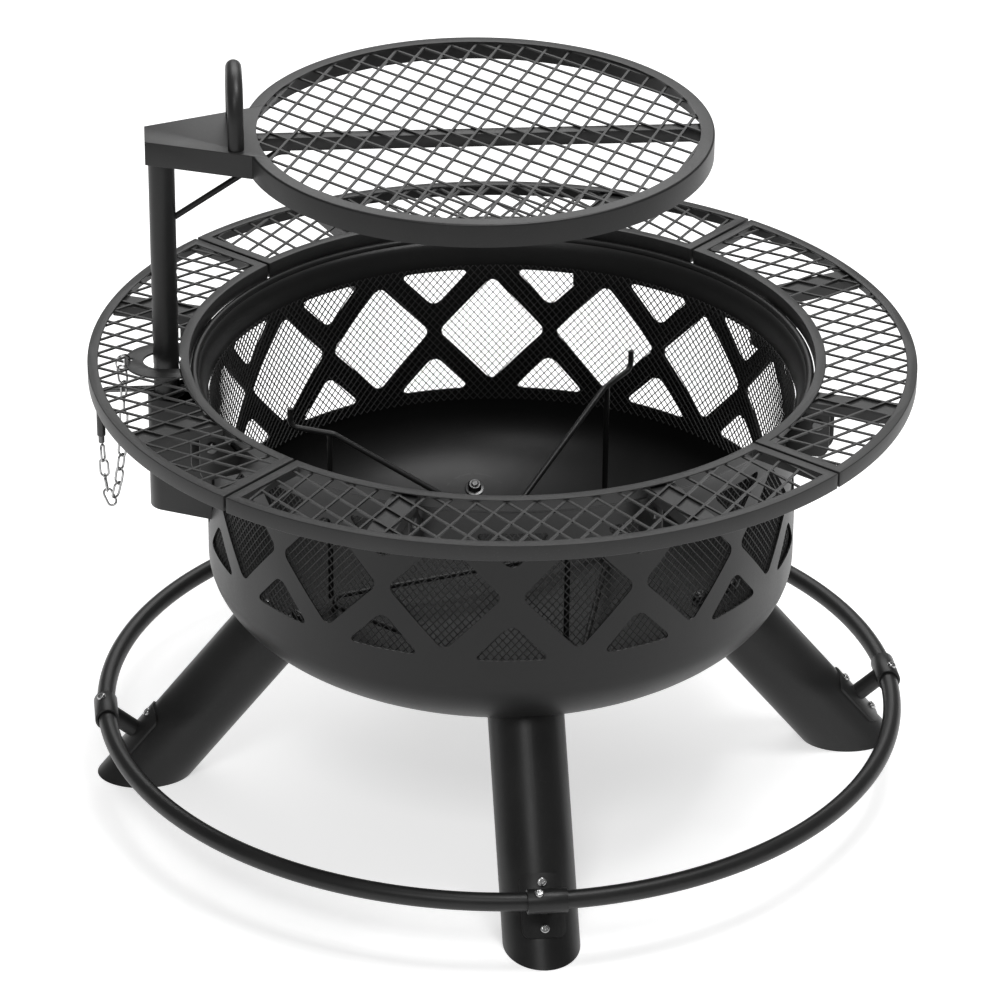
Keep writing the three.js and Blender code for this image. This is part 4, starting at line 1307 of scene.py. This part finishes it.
@dataclass
class PostSocket:
    """The folded bracket on the bowl that the grate's post stands in."""

    post: float = POST_X
    low: float = 0.2990
    high: float = 0.4210
    radius: float = 0.0178
    sheet: float = 0.0024
    wall: float = 0.2921
    half_mouth: float = 0.0385

    def plan(self) -> list[Vector]:
        """Gives the bracket's middle line seen from above, from one lip to the other."""
        mouth = -math.sqrt(self.wall**2 - self.half_mouth**2)
        away = math.atan2(self.half_mouth, mouth - self.post)
        reach = math.hypot(mouth - self.post, self.half_mouth)
        start = math.degrees(away + math.acos(self.radius / reach))
        arc = []
        for step in range(25):
            angle = math.radians(start + (360 - 2 * start) * step / 24)
            arc.append(Vector((self.post + self.radius * math.cos(angle),
                               self.radius * math.sin(angle), self.low)))
        lip = []
        edge = math.degrees(math.asin(self.half_mouth / self.wall))
        for step in range(6):
            lip.append(polar(self.wall, 270 - edge + step * 1.0, self.low))
        upper = list(reversed(lip))
        lower = [Vector((point.x, -point.y, point.z)) for point in lip]
        return [*upper, *arc, *lower]

    def build(self) -> None:
        """Builds the bracket and dresses the sleeve and the liner."""
        piece = Bench.start("folded_socket")
        Bench.draw(self.plan())
        bpy.ops.mesh.select_all(action="SELECT")
        Bench.pull(Vector((0, 0, self.high - self.low)))
        bpy.ops.mesh.select_all(action="SELECT")
        bpy.ops.mesh.normals_make_consistent(inside=False)
        Bench.leave()
        Bench.thicken(piece, self.sheet, 0.0)
        Bench.soften(piece, 0.0007, 2, 50)
        Bench.turn(piece, POST_CLOCK)
        finish_piece(piece, FRAME_PAINT, Body.PIT, ["post_socket"])
        dress_node("socket_sleeve", FRAME_PAINT)
        dress_node("post_liner", NYLON)


@dataclass
class LockingPin:
    """The L-shaped pin, its dipped grip and the chain that keeps it."""

    post: float = POST_X
    height: float = 0.4254
    reach: float = -0.395
    drop: float = 0.058
    radius: float = 0.0030
    grip: float = 0.0043
    grip_low: float = 0.3750
    hang: tuple[tuple[float, float, float], ...] = (
        (-0.3732, 0.0050, 0.4520),
        (-0.3718, 0.0005, 0.4250),
        (-0.3746, 0.0000, 0.3685),
        (-0.3810, 0.0010, 0.3220),
        (-0.3871, 0.0030, 0.3075),
        (-0.3920, 0.0060, 0.3260),
        (-0.3946, 0.0094, 0.3640),
    )
    route_steps: int = 6
    link_long: float = 0.0200
    link_wide: float = 0.0108
    wire: float = 0.00115
    link_roll: float = 35.0
    tip: float = 0.0207
    bend: float = 0.009
    grip_setback: float = 0.0095
    ring_radius: float = 0.0078
    ring_wire: float = 0.0007
    ring_place: tuple[float, float, float] = (-0.3716, 0.0065, 0.4560)

    def link(self) -> bpy.types.Object:
        """Models one chain link at the origin, its length along X."""
        piece = Bench.start("link")
        turn = self.link_wide / 2 - self.wire
        straight = self.link_long / 2 - self.wire - turn
        bpy.ops.mesh.primitive_circle_add(
            vertices=10, radius=self.wire, location=(-straight, -turn, 0),
            rotation=(0, math.pi / 2, 0),
        )
        Bench.pull(Vector((2 * straight, 0, 0)))
        Bench.spin(180, 9, Vector((straight, 0, 0)))
        Bench.pull(Vector((-2 * straight, 0, 0)))
        Bench.spin(180, 9, Vector((-straight, 0, 0)))
        Bench.weld(SEAM_FREE)
        Bench.leave()
        return piece

    def route(self) -> list[Vector]:
        """Gives the chain's line from the split ring down and up to the pin's end."""
        knots = [Vector(knot) for knot in self.hang]
        ends = [2 * knots[0] - knots[1], *knots, 2 * knots[-1] - knots[-2]]
        line = []
        for before, here, after, beyond in zip(ends, ends[1:], ends[2:], ends[3:]):
            for step in range(self.route_steps):
                t = step / self.route_steps
                tangent = (after - before) * t
                square = (2 * before - 5 * here + 4 * after - beyond) * t**2
                cube = (3 * here - before - 3 * after + beyond) * t**3
                line.append(here + (tangent + square + cube) / 2)
        return [*line, knots[-1]]

    def along(self, distance: float) -> tuple[Vector, Vector]:
        """Gives the place and direction at a distance along the chain."""
        for before, after in pairwise(self.route()):
            span = (after - before).length
            if distance <= span:
                return before.lerp(after, distance / span), (after - before).normalized()
            distance -= span
        return after, (after - before).normalized()

    def chain(self) -> bpy.types.Object:
        """Hangs links along the chain's line, each turned a quarter from the last."""
        link = self.link()
        total = sum((after - before).length for before, after in pairwise(self.route()))
        pitch = self.link_long - 4 * self.wire
        count = round(total / pitch)
        links = []
        for index in range(count):
            place, way = self.along((index + 0.5) * total / count)
            made = Bench.twin(link, f"link_{index}")
            frame_turn = way.to_track_quat("X", "Z").to_matrix().to_4x4()
            roll = Matrix.Rotation(math.radians(self.link_roll + QUARTER * (index % 2)), 4, "X")
            Bench.take(made)
            made.matrix_world = Matrix.Translation(place) @ frame_turn @ roll
            bpy.ops.object.transform_apply(location=True, rotation=True, scale=True)
            links.append(made)
        bpy.data.objects.remove(link, do_unlink=True)
        chain = Bench.join(links)
        chain.name = "chain_links"
        return chain

    def build(self) -> None:
        """Builds the pin, the grip and the chain."""
        corners = [
            Vector((self.post + self.tip, 0, self.height)),
            Vector((self.reach, 0, self.height)),
            Vector((self.reach, 0, self.height - self.drop)),
        ]
        pin = bent_rod("bent_pin", corners, self.radius, self.bend, 20)
        Bench.soften(pin, 0.0008, 2, 60)
        Bench.turn(pin, POST_CLOCK)
        finish_piece(pin, DARK_ZINC, Body.PIN, ["locking_pin"])
        grip = Bench.start("dipped_grip")
        low, high = self.grip_low, self.height - self.grip_setback
        bpy.ops.mesh.primitive_cylinder_add(
            vertices=32, radius=self.grip, depth=high - low,
            location=(self.reach, 0, (low + high) / 2),
        )
        Bench.round_edges(
            grip, lambda e: len({round(v.co.z, 5) for v in e.verts}) == 1, 0.0014, 4
        )
        Bench.leave()
        Bench.turn(grip, POST_CLOCK)
        finish_piece(grip, VINYL, Body.PIN, ["pin_grip"])
        finish_piece(self.chain(), ZINC, Body.SWIVEL, ["pin_chain"], smooth=60)
        ring = Bench.start("split_ring")
        for lift in (-0.0008, 0.0008):
            bpy.ops.mesh.primitive_torus_add(
                major_radius=self.ring_radius, minor_radius=self.ring_wire, major_segments=40,
                minor_segments=8, location=Vector(self.ring_place) + Vector((0, lift, 0)),
                rotation=(math.pi / 2, 0, 0.5),
            )
        Bench.leave()
        finish_piece(ring, ZINC, Body.PIT, smooth=60)


# ------------------------------------------------------------------------ grate


@dataclass
class SwingGrate:
    """The cooking grate: post, folded arm, hoop, expanded metal, crossbar, brace and handle."""

    table: TableTop
    top: float = 0.6960
    centre: float = -0.025
    radius: float = 0.2265
    flange: float = 0.0135
    band: float = 0.0230
    sheet: float = 0.0020
    post: float = POST_X
    post_radius: float = 0.0127
    post_low: float = 0.3060
    hole_low: float = 0.3754
    hole_pitch: float = 0.025
    holes: int = 8
    arm_back: float = -0.3448
    arm_back_half: float = 0.0190
    arm_front: float = -0.2460
    arm_front_half: float = 0.0570
    arm_depth: float = 0.0240
    lattice_turn: float = 11.0
    handle_x: float = -0.2585
    handle_half: float = 0.0410
    handle_rise: float = 0.0690
    handle_radius: float = 0.0078
    handle_bend: float = 0.034
    fold: float = 0.0022
    bar_wide: float = 0.0130
    bar_drop: float = 0.0125
    post_wall: float = 0.0015
    drill: float = 0.0042
    brace_radius: float = 0.003
    brace_bend: float = 0.02
    brace_low: float = 0.6090
    brace_high: float = 0.6765

    def mount(self, piece: bpy.types.Object, node: str, finish: Finish = FRAME_PAINT) -> None:
        """Turns a piece to the post's azimuth and mounts it on the grate."""
        Bench.turn(piece, POST_CLOCK)
        finish_piece(piece, finish, Body.GRATE, [node], smooth=28)

    def hoop(self) -> bpy.types.Object:
        """Spins the hoop's folded band."""
        hoop = Bench.start("grate_band")
        inner, fold = self.radius - self.flange, self.fold
        points = [Vector((self.centre + inner, 0, self.top))]
        for step in range(5):
            angle = math.radians(90 - 22.5 * step)
            out = self.radius - fold + fold * math.cos(angle)
            points.append(Vector((self.centre + out, 0, self.top - fold + fold * math.sin(angle))))
        points.append(Vector((self.centre + self.radius, 0, self.top - self.band)))
        Bench.draw(points)
        bpy.ops.mesh.select_all(action="SELECT")
        Bench.spin(360, 216, Vector((self.centre, 0, 0)))
        Bench.weld(SEAM_FREE)
        Bench.leave()
        Bench.thicken(hoop, self.sheet)
        return hoop

    def drum(self, name: str, radius: float, low: float, high: float) -> bpy.types.Object:
        """Makes a round tool about the hoop's axis."""
        tool = Bench.start(name)
        bpy.ops.mesh.primitive_cylinder_add(
            vertices=216, radius=radius, depth=high - low,
            location=(self.centre, 0, (low + high) / 2),
        )
        Bench.leave()
        return tool

    def plan(self, grow: float, height: float) -> list[Vector]:
        """Gives the arm's outline seen from above, run on under the hoop."""
        slope = (self.arm_front_half - self.arm_back_half) / (self.arm_front - self.arm_back)
        end = self.centre - 0.12
        side = grow * math.hypot(1, slope)
        back = self.arm_back_half + side - grow * slope
        front = self.arm_back_half + side + (end - self.arm_back) * slope
        return [
            Vector((self.arm_back - grow, -back, height)),
            Vector((end, -front, height)),
            Vector((end, front, height)),
            Vector((self.arm_back - grow, back, height)),
        ]

    def slab(self, name: str, grow: float, low: float, high: float) -> bpy.types.Object:
        """Makes a solid with the arm's outline."""
        slab = Bench.prism(name, self.plan(grow, low), Vector((0, 0, high - low)))
        Bench.leave()
        return slab

    def arm_room(self) -> bpy.types.Object:
        """Makes the tool that cuts the hoop away where the arm lies over it."""
        return self.slab("arm_room", 0.0001, self.top - 0.06, self.top + 0.02)

    def arm(self) -> bpy.types.Object:
        """Makes the folded arm, its plate cut to the hoop's mouth and its folds to its band."""
        foot = self.top - self.arm_depth
        arm = self.slab("folded_arm", 0, foot, self.top)
        Bench.work(arm, self.slab("pocket", -self.sheet, foot - 0.01, self.top - self.sheet))
        mouth = self.drum("mouth", self.radius - self.flange, foot - 0.02, self.top + 0.02)
        Bench.work(arm, mouth)
        skirt = self.drum("skirt", self.radius - 0.0004, foot - 0.02, self.top - self.sheet)
        Bench.work(arm, skirt)
        Bench.soften(arm, 0.0012, 3, 60)
        return arm

    def grille(self) -> bpy.types.Object:
        """Makes the grate's expanded metal."""
        sheet = self.table.lattice("grate_lattice")
        height = self.top - self.sheet - 0.0002
        Bench.take(sheet)
        sheet.rotation_euler.z = math.radians(self.lattice_turn)
        sheet.location = (self.centre, 0, height)
        bpy.ops.object.transform_apply(location=True, rotation=True, scale=True)
        trim = self.drum("trim", self.radius - self.sheet - 0.0008, height - 0.02, height + 0.02)
        Bench.work(sheet, trim, Cut.KEEP_INSIDE)
        return sheet

    def crossbar(self) -> bpy.types.Object:
        """Makes the folded angle under the expanded metal."""
        reach = self.radius - self.sheet - 0.0012
        high = self.top - self.sheet - 0.0002 - self.table.strand_thick - 0.0002
        bar = Bench.start("folded_crossbar")
        start = self.centre - reach
        wide, drop = self.bar_wide, self.bar_drop
        Bench.draw([Vector((start, wide / 2, high)), Vector((start, -wide / 2, high)),
                    Vector((start, -wide / 2, high - drop))])
        bpy.ops.mesh.select_all(action="SELECT")
        Bench.pull(Vector((2 * reach, 0, 0)))
        bpy.ops.mesh.select_all(action="SELECT")
        bpy.ops.mesh.normals_make_consistent(inside=False)
        Bench.leave()
        Bench.thicken(bar, 0.002, 0.0)
        Bench.soften(bar, 0.0006)
        Bench.take(bar)
        bar.location = (0, 0, -0.0011)
        bpy.ops.object.transform_apply(location=True, rotation=True, scale=True)
        return bar

    def post_tube(self) -> bpy.types.Object:
        """Makes the post with its row of pin holes."""
        high = self.top - self.sheet - 0.0003
        tube = Bench.start("post_tube")
        bpy.ops.mesh.primitive_cylinder_add(
            vertices=64, radius=self.post_radius, depth=high - self.post_low,
            location=(self.post, 0, (high + self.post_low) / 2),
        )
        foot = self.post_low + 1e-4
        Bench.round_edges(tube, lambda e: all(v.co.z < foot for v in e.verts), 0.0006, 2)
        Bench.leave()
        bore = Bench.start("bore")
        bpy.ops.mesh.primitive_cylinder_add(
            vertices=48, radius=self.post_radius - self.post_wall, depth=high - self.post_low,
            location=(self.post, 0, (high + self.post_low) / 2 - 0.003),
        )
        Bench.leave()
        Bench.work(tube, bore)
        for index in range(self.holes):
            drill = Bench.start("drill")
            bpy.ops.mesh.primitive_cylinder_add(
                vertices=24, radius=self.drill, depth=0.04, rotation=(0, math.pi / 2, 0),
                location=(self.post, 0, self.hole_low + index * self.hole_pitch),
            )
            Bench.leave()
            Bench.work(tube, drill)
        return tube

    def build(self) -> None:
        """Builds the grate."""
        arm, hoop = self.arm(), self.hoop()
        Bench.work(hoop, self.arm_room())
        self.mount(hoop, "grate_hoop")
        self.mount(arm, "grate_arm")
        self.mount(self.grille(), "grate_grille", TABLE_PAINT)
        self.mount(self.crossbar(), "grate_crossbar")
        self.mount(self.post_tube(), "grate_post")
        x, front, back = self.handle_x, -self.handle_half, self.handle_half
        crown = self.top + self.handle_rise - self.handle_radius
        handle = bent_rod(
            "bent_handle",
            [Vector((x, front, self.top - 0.001)), Vector((x, front, crown)),
             Vector((x, back, crown)), Vector((x, back, self.top - 0.001))],
            self.handle_radius, self.handle_bend, 28,
        )
        self.mount(handle, "grate_handle")
        brace = bent_rod(
            "brace_rod",
            [Vector((self.post + self.post_radius - 0.001, 0, self.brace_low)),
             Vector((-0.2180, -0.0040, self.brace_high)),
             Vector((-0.2060, -0.0046, self.brace_high))],
            self.brace_radius, self.brace_bend, 16,
        )
        self.mount(brace, "grate_brace")


# ------------------------------------------------------------------------ log rack


@dataclass
class LogRack:
    """The loose rack: a base triangle and three bent arms on legs."""

    clock: float = -104.0
    rod: float = 0.0029
    leg: float = 0.1730
    base: float = 0.1616
    top: float = 0.3510
    middle: float = 0.2610
    seat: float = 0.040
    tip: float = 0.020
    bend: float = 0.030
    arm_bend: float = 0.009
    rise: float = 0.005

    def triangle(self) -> bpy.types.Object:
        """Bends the base from one rod."""
        corner = self.leg + self.bend * math.cos(math.pi / 6) / 2
        spots = [polar(corner, self.clock + turn, self.base) for turn in (0, 120, 240, 360)]
        half = (spots[0] + spots[1]) / 2
        bend = self.bend * math.tan(math.radians(30))
        return bent_rod("rack_triangle", [half, *spots[1:], half], self.rod, bend, 14)

    def arm(self, azimuth: float, name: str) -> bpy.types.Object:
        """Bends one arm and stands its leg under it."""
        tip = self.top + self.rise
        upper = bent_rod(
            name,
            [polar(self.leg + self.seat, azimuth, tip + self.tip),
             polar(self.leg + self.seat, azimuth, tip),
             polar(self.leg - 0.004, azimuth, self.top),
             polar(0.0035, azimuth, self.middle)],
            self.rod, self.arm_bend, 14,
        )
        leg = bent_rod(
            "rack_leg",
            [polar(self.leg, azimuth, self.top), polar(self.leg, azimuth, self.base + self.rod)],
            self.rod, 0, 14,
        )
        return Bench.join([upper, leg])

    def build(self) -> None:
        """Builds the rack."""
        finish_piece(self.triangle(), RACK_PAINT, Body.RACK, ["rack_base"], smooth=60)
        for index in range(3):
            azimuth = self.clock + 120 * index
            arm = self.arm(azimuth, f"rack_rods_{index + 1}")
            finish_piece(arm, RACK_PAINT, Body.RACK, [f"rack_arm_{index + 1}"], smooth=60)


# ------------------------------------------------------------------------ studio


@dataclass
class Studio:
    """The pale floor, the soft lights and the camera."""

    heading: float = 5.986
    pitch: float = 27.766
    roll: float = 0.554
    lens: float = 174.81
    place: tuple[float, float, float] = (-0.44799, -4.26232, 2.54731)
    aim: tuple[float, float, float] = (0, 0, 0.35)
    sky_level: float = 0.2

    def floor(self) -> None:
        """Lays the floor."""
        Bench.leave()
        bpy.ops.mesh.primitive_plane_add(size=24, location=(0, 0, -0.0004))
        floor = bpy.context.object
        floor.name = "studio_floor"
        recipe = Recipe("pale_floor")
        recipe.set(Base_Color=grey(0.8), Roughness=0.9, Specular_IOR_Level=0.1)
        recipe.set(Emission_Color=grey(1.0), Emission_Strength=0.6)
        floor.data.materials.append(recipe.material)

    def lamp(self, name: str, place: Vector, aim: Vector, size: float, power: float) -> None:
        """Hangs a square soft light."""
        data = bpy.data.lights.new(name, "AREA")
        data.size = size
        data.energy = power
        lamp = bpy.data.objects.new(name, data)
        lamp.location = place
        lamp.rotation_euler = (aim - place).to_track_quat("-Z", "Y").to_euler()
        bpy.context.scene.collection.objects.link(lamp)

    def sky(self, level: float) -> None:
        """Fills the room with even light."""
        world = bpy.data.worlds.new("soft_room")
        bpy.context.scene.world = world
        world.use_nodes = True
        background = world.node_tree.nodes["Background"]
        background.inputs["Color"].default_value = (1, 1, 1, 1)
        background.inputs["Strength"].default_value = level

    def camera(self) -> None:
        """Sets up the camera."""
        heading, pitch, roll = (math.radians(v) for v in (self.heading, self.pitch, self.roll))
        level = Vector((math.cos(heading), -math.sin(heading), 0))
        ahead = Vector((math.sin(heading) * math.cos(pitch), math.cos(heading) * math.cos(pitch),
                        -math.sin(pitch)))
        above = level.cross(ahead)
        right = level * math.cos(roll) + above * math.sin(roll)
        top = above * math.cos(roll) - level * math.sin(roll)
        data = bpy.data.cameras.new("studio_camera")
        data.lens = self.lens
        data.sensor_width = 36
        data.clip_end = 60
        camera = bpy.data.objects.new("studio_camera", data)
        turned = Matrix((right, top, -ahead)).transposed().to_4x4()
        camera.matrix_world = Matrix.Translation(self.place) @ turned
        bpy.context.scene.collection.objects.link(camera)
        bpy.context.scene.camera = camera

    def build(self) -> None:
        """Builds the studio."""
        self.camera()
        self.floor()
        self.sky(self.sky_level)
        aim = Vector(self.aim)
        self.lamp("back_light", Vector((0.2, 2.6, 3.0)), aim, 2.6, 62)
        self.lamp("top_light", Vector((0.6, -0.3, 3.1)), aim, 1.1, 55)
        self.lamp("front_light", Vector((-0.9, -3.0, 3.6)), aim, 1.2, 42)
        bpy.context.scene.view_settings.view_transform = "Standard"


def main() -> None:
    """Builds the pit and the studio round it."""
    logging.basicConfig(level=logging.INFO, format="%(name)s %(message)s")
    Studio().build()
    bowl = FireBowl()
    bowl.build()
    legs = SplayedLegs(bowl)
    legs.build()
    FootRing(legs).build()
    table = TableTop()
    table.build()
    PostSocket().build()
    LockingPin().build()
    SwingGrate(table).build()
    LogRack().build()


if __name__ == "__main__":
    main()
